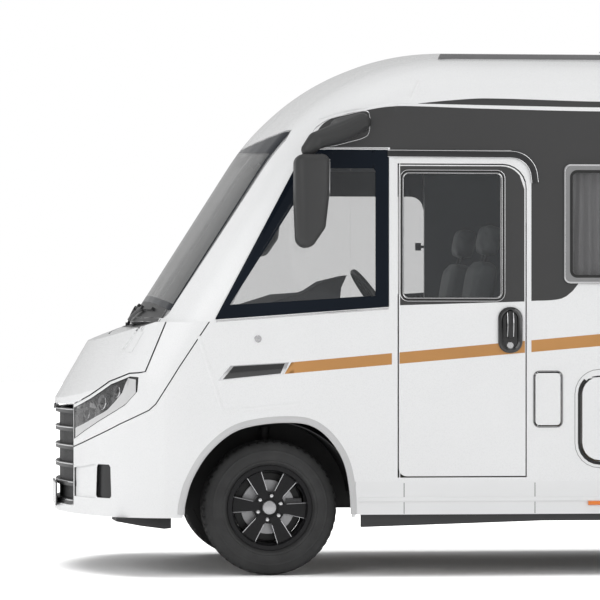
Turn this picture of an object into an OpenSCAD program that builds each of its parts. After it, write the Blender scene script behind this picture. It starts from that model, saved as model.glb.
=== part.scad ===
// Motorhome with an integrated cab on a low front-drive chassis.
// Millimetres; +X forward, +Y left, +Z up; origin on the ground under the middle.
// Side-view points are written [u, z]: u is the distance behind the front axle.

/* [Body] */
// Overall length, nose to tail
body_len = 6990; // [6700:10:7300]
// Width over the side walls
body_w = 2270; // [2220:5:2320]
// Roof height on the centre line
roof_z = 2795; // [2770:1:2830]
// Sandwich wall thickness
wall_t = 40; // [34:1:46]
// Cab moulding thickness
cab_t = 28; // [24:1:32]
// Shut gap round doors and flaps
gap = 7; // [6:0.5:9]

/* [Chassis] */
// Distance between the axles
wheelbase = 3925; // [3850:5:4000]
// Nose to front axle
front_overhang = 1095; // [1090:1:1110]
// Wheel centre to wheel centre across the car
track = 1706; // [1690:2:1720]
// Frame rail height
rail_h = 150; // [130:5:160]
// Floor panel thickness
floor_t = 40; // [30:2:50]

/* [Wheels] */
// Tyre outer diameter
tyre_d = 710; // [690:2:720]
// Tyre section width
tyre_w = 235; // [215:5:245]
// Spokes on each rim
spokes = 6; // [5:1:8]
// Width of a spoke
spoke_w = 66; // [50:2:80]

/* [Doors and flaps] */
// Cab door width
door_w = 666; // [640:2:680]
// Entry door width
entry_w = 650; // [600:5:680]
// Garage door width
garage_w = 980; // [880:10:1020]
// Garage door height
garage_h = 1060; // [900:10:1100]
// Locker flap width
locker_w = 800; // [700:10:860]
// Door and flap panel thickness
panel_t = 32; // [28:1:34]
// Hinge pin radius
pin_r = 3; // [2.5:0.1:3.5]
// Radial clearance of pins in their bores
pin_c = 0.3; // [0.2:0.05:0.5]

/* [Front] */
// Windscreen slope from level
screen_phi = 57.5; // [56.5:0.1:58]
// Radius of the roof dome in side view
dome_r = 1330; // [1310:2:1350]
// Grille bars
bars = 5; // [4:1:6]
// Grille bar height
bar_h = 26; // [20:1:34]

/* [Hidden] */
$fn = 64;
W = body_w / 2;
x_fa = body_len / 2 - front_overhang;
u_end = body_len - front_overhang;
u_nose = -front_overhang;
tyre_r = tyre_d / 2;
wheel_y = track / 2;
king_y = wheel_y - 93;

// Roof and screen section: crown radius and corner radius
crown_r = 5500;
crown_c = 250;
roof_dep = 330;
wall_top = roof_z - roof_dep;
// Side-view centre of the dome arc, and where the screen runs into it
dome_u = 985;
dome_z = roof_z - dome_r;
screen_u = dome_u - dome_r * sin(screen_phi);
screen_z = dome_z + dome_r * cos(screen_phi);
screen_low = 1190;
screen_run = (screen_z - screen_low) / sin(screen_phi);
side_dep = 1150;

// Nose: plan outline and bonnet section
nose_r = 1900;
nose_c = 480;
bonnet_r = 2600;
bonnet_c = 330;
bonnet_phi = 60;
bonnet_u = u_nose + 12;
bonnet_z = 938;
split_z = 1330;
nose_low = 312;
cab_end = 652;

// Floor levels
rail_top = 480;
floor_z = rail_top;
floor_top = floor_z + floor_t;
wall_low = 498;
skirt_low = 326;
sill_low = 290;

// Rear corner depth, and where walls and roof end
rear_in = 185;
u_tail = u_end - rear_in;
// Where the roof takes over from the dome
roof_u = 745;
// Heights that follow the top of the walls
pane_top = wall_top - 239;
window_hi = wall_top - 311;
door_hi = wall_top - 317;
entry_hi = wall_top - 145;

// Wheel arches
liner_r = 452;
liner_t = 4;
arch_r = 450;
box_half = 475;

// Hinge pins: axis distance from the panel's edges, depth in the panel
pin_in = 5;
pin_len = 22;
// Height of a round corner's edge at distance d from its side
function rise(r, d) = r - sqrt(r * r - (r - d) * (r - d));

// Points on an arc
function arc(cx, cy, r, a0, a1, n) =
  [for (k = [0:n]) let (a = a0 + (a1 - a0) * k / n) [cx + r * cos(a), cy + r * sin(a)]];
function rev(p) = [for (k = [len(p) - 1:-1:0]) p[k]];
// Crowned section with round corners, inset by i; y = 0 is the crown before the inset
function arch(rc, rr, i, dep, n = 8, m = 5) =
  let (al = asin((W - rr) / (rc - rr)), cy = -rc + (rc - rr) * cos(al))
  concat([[W - i, -dep]], arc(W - rr, cy, rr - i, 0, 90 - al, m),
    [for (k = [1:n - 1]) let (a = 90 - al + 2 * al * k / n)
      [(rc - i) * cos(a), -rc + (rc - i) * sin(a)]],
    arc(-(W - rr), cy, rr - i, 90 + al, 180, m), [[-(W - i), -dep]]);
// Open strip between two insets of the same section
function strip(rc, rr, i0, i1, dep) = concat(arch(rc, rr, i0, dep), rev(arch(rc, rr, i1, dep)));
// Rectangle with round corners, from low corner to high corner
function round_rect(a0, b0, a1, b1, r) = concat(
  arc(a1 - r, b1 - r, r, 0, 90, 5), arc(a0 + r, b1 - r, r, 90, 180, 5),
  arc(a0 + r, b0 + r, r, 180, 270, 5), arc(a1 - r, b0 + r, r, 270, 360, 5));
// Edge that bends from its ends to its middle
function bow(a0, a1, b_end, b_mid, n) =
  [for (k = [0:n]) let (s = 2 * k / n - 1) [a0 + (a1 - a0) * k / n, b_mid + (b_end - b_mid) * s * s]];

// Frame on a sloped line through [u, z]: section up is outward, run is up the slope
module slope_frame(u, z, phi)
  multmatrix([[0, sin(phi), -cos(phi), x_fa - u], [-1, 0, 0, 0], [0, cos(phi), sin(phi), z], [0, 0, 0, 1]])
    children();
module slope_run(u, z, phi, run, pts) slope_frame(u, z, phi) linear_extrude(run) polygon(pts);
// Side-view outline run across the car from y0 to y1
module side_cut(pts, y0, y1)
  multmatrix([[-1, 0, 0, x_fa], [0, 0, 1, y0], [0, 1, 0, 0], [0, 0, 0, 1]])
    linear_extrude(y1 - y0) polygon(pts);
// The same outline on both sides, between two distances from the middle
module both_sides(pts, y0, y1) {
  side_cut(pts, y0, y1);
  side_cut(pts, -y1, -y0);
}
// Box from u0 to u1, y0 to y1, z0 to z1
module slab(u0, u1, y0, y1, z0, z1) translate([x_fa - u1, y0, z0]) cube([u1 - u0, y1 - y0, z1 - z0]);
module both_slabs(u0, u1, y0, y1, z0, z1) {
  slab(u0, u1, y0, y1, z0, z1);
  slab(u0, u1, -y1, -y0, z0, z1);
}
// Round bar from point a to point b, each [u, y, z]
module bar(a, b, r, n = 24) {
  d = [a[0] - b[0], b[1] - a[1], b[2] - a[2]];
  len = norm(d);
  translate([x_fa - a[0], a[1], a[2]])
    rotate([0, acos(d[2] / len), atan2(d[1], d[0])])
      cylinder(len, r, r, $fn = n);
}
// What is drawn for the left side, on side s
module on_side(s) {
  if (s > 0) children();
  else mirror([0, 1, 0]) children();
}
// Disc with its axis across the car, from y0 to y1
module across(u, z, r, y0, y1) translate([x_fa - u, y0, z]) rotate([-90, 0, 0]) cylinder(y1 - y0, r, r);

// Upright pin, and pin along the car
module post(u, y, z0, z1, r) translate([x_fa - u, y, z0]) cylinder(z1 - z0, r, r, $fn = 24);
module rod(u0, u1, y, z, r) translate([x_fa - u1, y, z]) rotate([0, 90, 0]) cylinder(u1 - u0, r, r, $fn = 24);
// Pins at both ends of a top-hinged panel with corner radius rr, on side s; c is 0 for pins, pin_c for bores
module flap_pins(u0, u1, z, rr, s, c) {
  d = rise(rr, pin_in);
  e = rise(rr, pin_in + gap) - gap;
  for (k = [0, 1]) {
    a = k == 0 ? u0 + e - 8 : u1 - d - pin_len - c;
    b = k == 0 ? u0 + d + pin_len + c : u1 - e + 8;
    rod(a, b, s * (W - pin_in), z - pin_in, pin_r + c);
  }
}
// The same for a panel hinged at its front edge
module door_pins(u, z0, z1, rr, s, c) {
  d = rise(rr, pin_in);
  e = rise(rr, pin_in + gap) - gap;
  post(u + pin_in, s * (W - pin_in), z0 + e - 8, z0 + d + pin_len + c, pin_r + c);
  post(u + pin_in, s * (W - pin_in), z1 - d - pin_len - c, z1 - e + 8, pin_r + c);
}

// Screen and dome swept from one section
module dome_turn(angle, pts)
  multmatrix([[0, 1, 0, x_fa - dome_u], [0, 0, 1, 0], [1, 0, 0, dome_z], [0, 0, 0, 1]])
    rotate_extrude(angle = angle, $fn = 96) polygon([for (p = pts) [dome_r + p[1], p[0]]]);
module cab_sweep(i0, i1, dep) {
  pts = strip(crown_r, crown_c, i0, i1, dep);
  slope_run(screen_u - screen_run * cos(screen_phi), screen_low, screen_phi, screen_run, pts);
  dome_turn(screen_phi, pts);
}
module screen_solid(i)
  slope_run(screen_u - screen_run * cos(screen_phi), screen_low, screen_phi, screen_run,
    arch(crown_r, crown_c, i, side_dep));

// Windscreen outline [y, run], run counted from where the glass base crosses the middle
glass_base = 1352;
glass_low_u = screen_u - (screen_z - glass_base) / tan(screen_phi);
glass_y = W - 143;
glass_top = (screen_z - glass_base) / sin(screen_phi) + 115;
function screen_outline(i) = concat(
  bow(-glass_y + 32 + i, glass_y - 32 - i, 52 + i, i, 8),
  [[glass_y - i, 84 + i], [glass_y + 20 - i, glass_top + 84 - i], [glass_y - 2 - i, glass_top + 150 - i]],
  bow(glass_y - 32 - i, -glass_y + 32 + i, glass_top + 144 - i, glass_top - i, 10),
  [[-glass_y + 2 + i, glass_top + 150 - i], [-glass_y - 20 + i, glass_top + 84 - i], [-glass_y + i, 84 + i]]);
module screen_cut(i, d0, d1)
  multmatrix([[0, -cos(screen_phi), sin(screen_phi), x_fa - glass_low_u + d0 * sin(screen_phi)],
      [1, 0, 0, 0], [0, sin(screen_phi), cos(screen_phi), glass_base + d0 * cos(screen_phi)], [0, 0, 0, 1]])
    linear_extrude(d1 - d0) polygon(screen_outline(i));
// Cab side windows: they end at u on the door's side, and run on past the pillar on the other side
pane_end = 608;
long_end = 1110;
// Sloping sill, and front edges of the pane and of its hole
function sill(u) = 1341 + 0.0733 * (u + 296);
function pane_front(z) = -300 + 0.5292 * (z - 1345);
function hole_front(z) = -236 + 0.5097 * (z - 1372);
function side_pane(e) = [[-300, 1345], [-296, 1341], [e - 3, sill(e - 3)], [e, sill(e) + 5],
  [e, pane_top - 10], [e - 8, pane_top], [pane_front(pane_top) + 6, pane_top],
  [pane_front(pane_top - 8), pane_top - 8]];
function side_hole(e) = [[-236, 1372], [e - 30, sill(e - 30) + 27], [e - 30, pane_top - 26],
  [hole_front(pane_top - 26), pane_top - 26]];

// Nose body, inset by i
module nose_solid(i) {
  over = i > 0 ? 5 : 0;
  top = split_z - i;
  intersection() {
    slope_run(u_nose, nose_low - 1, 90, split_z - nose_low + 2, arch(nose_r, nose_c, i, 1900));
    slope_run(bonnet_u - 700 * cos(bonnet_phi), bonnet_z - 700 * sin(bonnet_phi), bonnet_phi, 3000,
      arch(bonnet_r, bonnet_c, i, 2600));
    side_cut([[u_nose - 20, nose_low - over], [cab_end + over, nose_low - over], [cab_end + over, top],
      [-598, top], [-925, top - 109], [u_nose - 20, top - 166]], -W - 1, W + 1);
  }
}
module nose_shell() {
  difference() {
    nose_solid(0);
    nose_solid(cab_t);
    intersection() {
      screen_solid(cab_t + 45);
      slab(-800, cab_end + 5, -W, W, split_z - cab_t - 4, split_z + 50);
    }
  }
}

// Lines on the nose in side view
fender_line = [[-324, 1340], [-483, 1101], [-606, 905], [-640, 872], [-787, 798], [-905, 730], [-1015, 664],
  [-1130, 600]];
bonnet_line = [[-540, 1345], [-656, 1070], [-690, 1062], [-737, 1059], [-836, 1016], [-934, 939],
  [-1015, 887], [-1130, 880]];
lamp_outline = [[-694, 1042], [-737, 1046], [-832, 1004], [-930, 927], [-1010, 874],
  [-1010, 706], [-960, 752], [-885, 812], [-762, 896], [-700, 968]];
arch_line = [[-470, 290], [-462, 400], [-425, 520], [-340, 655], [-212, 763], [-60, 806], [127, 814],
  [235, 782], [322, 700], [382, 590], [409, 450], [415, 290]];
// Band of width g along a line
function band(p, g) = let (n = len(p) - 1,
    off = [for (k = [0:n]) let (d = p[min(k + 1, n)] - p[max(k - 1, 0)]) g / 2 * [-d[1], d[0]] / norm(d)])
  concat(p + off, rev(p - off));
grille_y = 540;
grille_lo = 358;
grille_hi = 868;
module grille_room(g) slab(u_nose - 50, -700, -grille_y - g, grille_y + g, grille_lo - g, grille_hi + g);
module fender_gap() side_cut(band(fender_line, 6), -W - 5, W + 5);
module bonnet_gap(g) side_cut(band(bonnet_line, g), -W - 5, W + 5);
module above_fender() side_cut(concat(fender_line, [[-1130, 1400], [-324, 1400]]), -W - 5, W + 5);
module bonnet_room() side_cut(concat(bonnet_line, [[-1130, 1400], [-540, 1400]]), -W - 5, W + 5);

// Cowl strip in front of the screen
cowl_y = 955;
module cowl_room(g) {
  intersection() {
    screen_solid(-66 + g);
    slab(-900, -400, -cowl_y + g, cowl_y - g, 1150, 1400);
  }
}
// Bonnet pivots at its lower lip: distance behind the nose, height, places across
lip_u = u_nose + 8;
lip_z = 878;
lip_r = 6;
lip_at = [-150, 150];

module bonnet() color("white") {
  difference() {
    union() {
      difference() {
        intersection() {
          nose_shell();
          bonnet_room();
        }
        bonnet_gap(2 * gap);
        cowl_room(0);
        grille_room(gap);
      }
      for (y = lip_at) {
        across(lip_u, lip_z, lip_r, y - 12, y + 12);
        slab(lip_u - 3, lip_u + lip_r, y - 12, y + 12, lip_z, lip_z + 16);
      }
    }
    for (y = lip_at) across(lip_u, lip_z, pin_r + pin_c, y - 20, y + 20);
  }
}

module front_mask() color("white") {
  difference() {
    intersection() {
      nose_shell();
      above_fender();
    }
    fender_gap();
    difference() {
      bonnet_room();
      cowl_room(gap);
    }
    side_cut(lamp_outline, -W - 5, W + 5);
    grille_room(4);
    slab(u_nose - 50, -700, -grille_y - 4, grille_y + 4, grille_hi, bonnet_z);
  }
}

module wing(s) color("white") {
  difference() {
    intersection() {
      nose_shell();
      side_cut([[-560, 300], [430, 300], [430, wall_low], [cab_end, wall_low], [cab_end, 1340], [-560, 1340]],
        s > 0 ? 300 : -W - 5, s > 0 ? W + 5 : -300);
    }
    above_fender();
    fender_gap();
    side_cut(arch_line, -W - 5, W + 5);
  }
}

module wing_left() wing(1);
module wing_right() wing(-1);

// Dark insert low in the bumper corners
insert_outline = [[-898, 408], [-836, 408], [-830, 420], [-834, 570], [-842, 584], [-894, 584], [-900, 570],
  [-904, 420]];
// Scoop ahead of it
scoop_outline = [[-1008, 404], [-908, 404], [-908, 586], [-1008, 556]];
scoop_deep = 13;
module front_bumper() color("white") {
  difference() {
    intersection() {
      nose_shell();
      side_cut([[-1130, 300], [-560, 300], [-560, 1340], [-1130, 1340]], -W - 5, W + 5);
    }
    above_fender();
    fender_gap();
    grille_room(4);
    side_cut(insert_outline, -W - 5, W + 5);
    difference() {
      side_cut(scoop_outline, -W - 5, W + 5);
      nose_solid(scoop_deep);
    }
  }
}

module grille() color("dimgray") {
  // Bars on the nose line, on a back panel whose side stiles lie behind the bumper
  intersection() {
    slab(u_nose - 50, -700, -grille_y, grille_y, grille_lo, grille_hi);
    union() {
      for (k = [0:bars])
        slope_run(u_nose, grille_lo + k * (grille_hi - grille_lo - bar_h) / bars, 90, bar_h,
          strip(nose_r, nose_c, 6, 56, 1000));
      slope_run(u_nose, grille_lo, 90, grille_hi - grille_lo, strip(nose_r, nose_c, 50, 60, 1000));
    }
  }
  for (s = [-1, 1])
    intersection() {
      slope_run(u_nose, grille_lo, 90, grille_hi - grille_lo - 200, strip(nose_r, nose_c, cab_t, 60, 1000));
      on_side(s) slab(u_nose - 50, -700, grille_y - 20, grille_y + 20, 0, 1000);
    }
  // Pivots for the bonnet, each between two ears
  for (y = lip_at) {
    across(lip_u, lip_z, pin_r, y - 30, y + 30);
    for (ear = [y - 30, y + 14]) {
      across(lip_u, lip_z, lip_r, ear, ear + 16);
      slab(lip_u - lip_r + 0.5, lip_u + 20, ear, ear + 16, grille_hi - 12, lip_z);
    }
  }
  // Inserts in the bumper corners
  intersection() {
    slope_run(u_nose, 300, 90, 400, strip(nose_r, nose_c, 16, cab_t, 1000));
    side_cut(insert_outline, -W, W);
  }
}

module lamp_slice(i0, i1, pts) {
  intersection() {
    difference() {
      nose_solid(i0);
      nose_solid(i1);
    }
    both_sides(pts, grille_y + 22, W + 5);
  }
}
// Outline scaled about its middle
function mean(p, k) = [for (q = p) q[k]] * [for (q = p) 1] / len(p);
function about(p, f) = let (c = [mean(p, 0), mean(p, 1)]) [for (q = p) c + f * (q - c)];
lamp_in = about(lamp_outline, 0.975);
module headlamp_bowls() color("black") {
  difference() {
    union() {
      lamp_slice(8, 90, lamp_in);
      lamp_slice(cab_t, cab_t + 8, about(lamp_outline, 1.05));
    }
    lamp_slice(7, 76, about(lamp_outline, 0.92));
  }
}
module headlamp_lenses() color("lightgray") lamp_slice(2, 8, lamp_in);

module cab_top() color("white") {
  difference() {
    intersection() {
      cab_sweep(0, cab_t, side_dep);
      side_cut([[-760, split_z], [cab_end, split_z], [cab_end, wall_top], [roof_u, wall_top],
        [roof_u, roof_z + 105], [-760, roof_z + 105]], -W - 5, W + 5);
    }
    screen_cut(34, -320, 60);
    intersection() {
      cab_sweep(-8, 8, 700);
      screen_cut(0, -320, 60);
    }
    for (s = [-1, 1]) on_side(s) side_cut(side_hole(s > 0 ? pane_end : long_end), 900, W + 5);
    intersection() {
      cab_sweep(-8, 8, side_dep - 20);
      for (s = [-1, 1]) on_side(s) side_cut(side_pane(s > 0 ? pane_end : long_end), 900, W + 20);
    }
  }
}

module cab_glazing() color([0.2, 0.25, 0.3, 0.5]) {
  intersection() {
    cab_sweep(1, 7.7, 700);
    screen_cut(3, -320, 60);
  }
  intersection() {
    cab_sweep(1, 7.7, side_dep - 20);
    side_cut(side_pane(pane_end), 900, W + 20);
  }
  // The long pane is in two lengths, met at the end of the cab
  intersection() {
    cab_sweep(1, 7.7, side_dep - 20);
    side_cut(side_pane(long_end), -W - 20, -900);
    slab(-400, cab_end, -W - 20, -900, split_z, wall_top);
  }
  intersection() {
    side_cut(side_pane(long_end), -W + 1, -W + 7.7);
    slab(cab_end + 0.3, long_end + 5, -W - 20, -900, split_z, wall_top);
  }
}

// Roof with two openings: [from u, length, width]
lights = [[1990, 500, 500], [wheelbase + 725, 700, 500]];
module roof_panel() color("white") {
  pts = strip(crown_r, crown_c, 0, wall_t, roof_dep);
  difference() {
    union() {
      intersection() {
        dome_turn(screen_phi, pts);
        slab(roof_u, dome_u + 1, -W - 5, W + 5, wall_top, roof_z + 10);
      }
      slope_run(dome_u, roof_z, 0, u_tail - dome_u, pts);
    }
    for (l = lights) slab(l[0], l[0] + l[1], -l[2] / 2, l[2] / 2, roof_z - 300, roof_z + 50);
  }
}
light_rim = 30;
module roof_lights() color([0.6, 0.65, 0.7, 0.6]) {
  for (l = lights) {
    difference() {
      slab(l[0], l[0] + l[1], -l[2] / 2, l[2] / 2, roof_z - 70, roof_z + 40);
      slab(l[0] + light_rim, l[0] + l[1] - light_rim, -l[2] / 2 + light_rim, l[2] / 2 - light_rim,
        roof_z - 80, roof_z + 34);
    }
    translate([x_fa - l[0] - l[1] / 2, 0, roof_z + 40])
      linear_extrude(40, scale = 0.9)
        square([l[1] + 2 * light_rim, l[2] + 2 * light_rim], center = true);
  }
}
// Low rails along the roof's edges
rail_y = 900;
rail_w = 32;
roof_rail_top = roof_z - 54;
module roof_rails() color("dimgray") {
  pts = arch(crown_r, crown_c, 0, roof_dep);
  for (s = [-1, 1])
    difference() {
      on_side(s) side_cut([[880, roof_rail_top - 50], [905, roof_rail_top], [u_tail - 210, roof_rail_top],
        [u_tail - 150, roof_rail_top - 50]], rail_y, rail_y + rail_w);
      slope_run(dome_u - 200, roof_z, 0, u_tail - dome_u + 200, pts);
      intersection() {
        dome_turn(screen_phi, pts);
        slab(700, dome_u + 1, -W, W, wall_top, roof_z + 100);
      }
    }
}

// Windows: [side, from u, to u, from z, to z]
windows = [[1, 1528, 2440, window_hi - 624, window_hi],
  [1, wheelbase + 425, wheelbase + 1225, window_hi - 450, window_hi],
  [-1, wheelbase - 1205, wheelbase - 445, window_hi - 510, window_hi - 60],
  [-1, wheelbase + 425, wheelbase + 1225, window_hi - 450, window_hi]];
frame_w = 46;
frame_r = 34;
window_r = 22;
function window_pts(w, i, r) = round_rect(w[1] + i, w[3] + i, w[2] - i, w[4] - i, r);
// Outline run through the wall of side s, from deep inside it to out beyond it
module in_wall(s, pts, deep = wall_t + 5, out = 5) on_side(s) side_cut(pts, W - deep, W + out);
module window_holes(side)
  for (w = windows)
    if (w[0] == side) in_wall(side, window_pts(w, 0, frame_r));
module window_frames() color("gray")
  for (w = windows)
    difference() {
      in_wall(w[0], window_pts(w, 0, frame_r), wall_t, 10);
      in_wall(w[0], window_pts(w, frame_w, window_r), wall_t + 5, 15);
    }
module window_panes() color([0.3, 0.33, 0.36, 0.5])
  for (w = windows) in_wall(w[0], window_pts(w, frame_w, window_r), 8, 2);

// Door and flap outlines [u, z]
door_u = cab_end + gap;
door_lo = 525;
door_r = 40;
door_corner = 120;
door_pts = concat(arc(door_u + door_r, door_lo + door_r, door_r, 180, 270, 5), [[door_u + door_w, door_lo]],
  arc(door_u + door_w - door_corner, door_hi - door_corner, door_corner, 0, 90, 6), [[door_u, door_hi]]);
entry_u = 1750;
entry_lo = 525;
garage_u = wheelbase + 495;
garage_lo = 560;
locker_u = 1626;
locker_lo = 606;
locker_hi = 1041;
flap_u = 1378;
flap_w = 132;
flap_lo = 790;
flap_hi = 1062;
entry_r = 70;
garage_r = 70;
locker_r = 90;
flap_r = 20;
function panel_pts(u, w, lo, hi, r, g) = round_rect(u - g, lo - g, u + w + g, hi + g, r);
function entry_pts(g) = panel_pts(entry_u, entry_w, entry_lo, entry_hi, entry_r, g);
function garage_pts(g) = panel_pts(garage_u, garage_w, garage_lo, garage_lo + garage_h, garage_r, g);
function locker_pts(g) = panel_pts(locker_u, locker_w, locker_lo, locker_hi, locker_r, g);
function flap_pts(g) = panel_pts(flap_u, flap_w, flap_lo, flap_hi, flap_r, g);
// Rear wheel arch in side view, open downwards to z
function rear_arch(z) = concat([[wheelbase - arch_r, z]], rev(arc(wheelbase, tyre_r, arch_r, 8, 172, 16)),
  [[wheelbase + arch_r, z]]);

module wall_left() color("white") {
  u_door = door_u + door_w + gap;
  z_door = door_hi + gap;
  corner = door_corner + gap;
  difference() {
    side_cut(concat(
      [[cab_end, wall_low], [u_tail, wall_low], [u_tail, wall_top], [cab_end, wall_top], [cab_end, z_door]],
      rev(arc(u_door - corner, z_door - corner, corner, 0, 90, 6)),
      [[u_door, door_lo - gap], [cab_end, door_lo - gap]]), W - wall_t, W);
    window_holes(1);
    in_wall(1, garage_pts(gap));
    in_wall(1, locker_pts(gap));
    in_wall(1, flap_pts(gap));
    in_wall(1, rear_arch(400));
  }
  post(door_u + pin_in, W - pin_in, door_lo - gap - 8, door_lo + rise(door_r, pin_in) + pin_len, pin_r);
  post(door_u + pin_in, W - pin_in, door_hi - pin_len, door_hi + gap + 8, pin_r);
  flap_pins(garage_u, garage_u + garage_w, garage_lo + garage_h, garage_r, 1, 0);
  flap_pins(locker_u, locker_u + locker_w, locker_hi, locker_r, 1, 0);
  flap_pins(flap_u, flap_u + flap_w, flap_hi, flap_r, 1, 0);
}
module wall_right() color("white") {
  difference() {
    side_cut([[cab_end, wall_low], [u_tail, wall_low], [u_tail, wall_top], [cab_end, wall_top]],
      -W, -W + wall_t);
    window_holes(-1);
    in_wall(-1, side_hole(long_end));
    in_wall(-1, side_pane(long_end), 8);
    in_wall(-1, garage_pts(gap));
    in_wall(-1, entry_pts(gap));
    in_wall(-1, rear_arch(400));
  }
  flap_pins(garage_u, garage_u + garage_w, garage_lo + garage_h, garage_r, -1, 0);
  door_pins(entry_u, entry_lo, entry_hi, entry_r, -1, 0);
}

// Rear end, inset by i
module rear_solid(i) {
  intersection() {
    slope_run(u_tail, roof_z, 0, rear_in + 15, arch(crown_r, crown_c, i, 2500));
    multmatrix([[0, -1, 0, x_fa - u_end], [1, 0, 0, 0], [0, 0, 1, 325], [0, 0, 0, 1]])
      linear_extrude(roof_z) polygon(arch(7000, 160, i, 400));
    side_cut(concat([[u_tail - 5, wall_low - i], [u_end + 5, wall_low - i], [u_end + 5, roof_z - 260]],
      arc(u_end - 150, roof_z - 150, 150 - i, 0, 90, 6), [[u_tail - 5, roof_z - i]]), -W - 5, W + 5);
  }
}
module wall_rear() color("white") {
  difference() {
    rear_solid(0);
    difference() {
      rear_solid(wall_t);
      slab(u_tail - 5, u_end, -W, W, 300, wall_low + 30);
    }
    lamp_rounds(80);
  }
}
module rear_bumper() color("white") {
  difference() {
    intersection() {
      multmatrix([[0, -1, 0, x_fa - u_end], [1, 0, 0, 0], [0, 0, 1, skirt_low], [0, 0, 0, 1]])
        linear_extrude(wall_low - skirt_low) polygon(strip(7000, 160, 0, 34, 400));
      slab(u_tail, u_end + 10, -W - 5, W + 5, 300, 600);
    }
  }
}
// Round lamps let into the rear wall
module lamp_rounds(deep) {
  for (s = [-1, 1])
    for (z = [700, 860, 1020])
      translate([x_fa - u_end + deep + 4, s * 900, z]) rotate([0, -90, 0]) cylinder(deep, 62, 62, $fn = 40);
}
module rear_lamps() color("darkred") lamp_rounds(60);

// Lower skirts, split by the wheel arches
skirt_t = 24;
module side_skirts() color("white")
  for (s = [-1, 1])
    difference() {
      for (run = [[432, wheelbase - 300], [wheelbase + 300, u_tail]])
        on_side(s) slab(run[0], run[1], W - skirt_t, W, skirt_low, wall_low);
      in_wall(s, rear_arch(300));
    }
module sills() color("dimgray")
  both_sides([[464, sill_low - 30], [1420, sill_low], [wheelbase - 525, sill_low], [wheelbase - 525, floor_z],
    [464, floor_z]], W - 60, W - skirt_t);

// Floor with boxes over the rear wheels, and the bulkhead between engine and cab
box_y = 560;
box_top = 830;
box_t = 10;
module floor_panel() color("gray") {
  difference() {
    slab(470, u_tail, -W + wall_t, W - wall_t, floor_z, floor_top);
    both_slabs(wheelbase - box_half, wheelbase + box_half, box_y, W, floor_z - 5, floor_top + 5);
  }
  slab(-300, 470, -520, 520, floor_z, floor_top);
  slab(-340, -300, -520, 520, floor_z, 1000);
}
module wheel_liners() color("black")
  for (s = [-1, 1])
    on_side(s) {
      difference() {
        across(0, tyre_r, liner_r + liner_t, 522, W - cab_t);
        across(0, tyre_r, liner_r, 522 + liner_t, W);
        slab(-600, 600, 0, W, -200, 420);
      }
      difference() {
        slab(wheelbase - box_half, wheelbase + box_half, box_y, W - wall_t, floor_z, box_top);
        slab(wheelbase - box_half + box_t, wheelbase + box_half - box_t, box_y + box_t, W, floor_z - 5,
          box_top - box_t);
      }
    }
// Frame rails with cross members, jacking pads and towbar bolt holes in the rail ends
rail_in = 400;
rail_t = 60;
members = [-720, 620, 1600, wheelbase - 1225, wheelbase + 725, u_end - 200];
module chassis_frame() color("dimgray") {
  rail_low = rail_top - rail_h;
  difference() {
    union() {
      both_slabs(-720, u_end - 120, rail_in, rail_in + rail_t, rail_low, rail_top);
      both_slabs(1180, 1300, rail_in + 6, rail_in + rail_t - 6, rail_low - 12, rail_low + 2);
      for (u = members) slab(u, u + 70, -rail_in, rail_in, rail_low + 10, rail_top - 20);
    }
    for (s = [-1, 1])
      for (k = [0, 1])
        on_side(s)
          across(u_end - 440 + 120 * k, rail_top - rail_h / 2, 6.5, rail_in - 10, rail_in + rail_t + 10);
  }
}
module engine_block() color("gray") {
  slab(-680, -380, -330, 330, 500, 960);
  // Feet on the frame rails
  both_slabs(-570, -490, 300, 445, rail_top, 540);
}
module underfloor_tanks() color("black") {
  both_slabs(1500, 2500, 500, 980, 300, rail_top);
  slab(wheelbase - 1075, wheelbase - 525, -380, 380, 300, rail_top);
}
beam_lo = 300;
beam_hi = rail_top - rail_h;
arm_lo = 268;
module front_axle() color("dimgray") {
  difference() {
    union() {
      slab(-60, 60, -560, 560, beam_lo, beam_hi);
      both_slabs(-40, 40, 480, king_y, arm_lo, beam_lo + 0.5);
      for (s = [-1, 1]) post(0, s * king_y, arm_lo, beam_lo + 0.5, 34);
    }
    for (s = [-1, 1]) post(0, s * king_y, arm_lo - 5, beam_lo + 5, king_r + pin_c);
  }
  // Spring struts on the arms
  for (s = [-1, 1]) post(0, s * 620, beam_lo - 5, 770, 24);
}
module rear_axle() color("dimgray") {
  slab(wheelbase - 45, wheelbase + 45, -660, 660, beam_lo, beam_hi);
  for (s = [-1, 1])
    on_side(s) {
      across(wheelbase, tyre_r, 50, 600, wheel_y - 100);
      across(wheelbase, tyre_r, stub_r, wheel_y - 110, wheel_y + 5);
    }
}

// Steered upright with the brake caliper
king_r = 14;
stub_r = 21.7;
disc_in = 48;
disc_t = 22;
disc_r = 142;
module knuckle_left() color("gray") {
  face = king_y + 14;
  pad_in = wheel_y - disc_in - 6;
  pad_out = wheel_y - disc_in + disc_t + 6;
  slab(-30, 30, king_y - 25, face, beam_lo + 7, tyre_r + 120);
  post(0, king_y, arm_lo - 8, beam_lo + 12, king_r);
  across(0, tyre_r, 42, king_y - 18, face + 8);
  across(0, tyre_r, stub_r, king_y, wheel_y + 5);
  // Caliper over the brake disc
  translate([x_fa, 0, tyre_r - 44]) linear_extrude(88)
    polygon([[-20, face - 16], [-176, face - 16], [-176, pad_out + 18], [-96, pad_out + 18], [-96, pad_out],
      [-disc_r - 8, pad_out], [-disc_r - 8, pad_in], [-20, pad_in]]);
}
module knuckle_right() color("gray") mirror([0, 1, 0]) knuckle_left();

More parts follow.
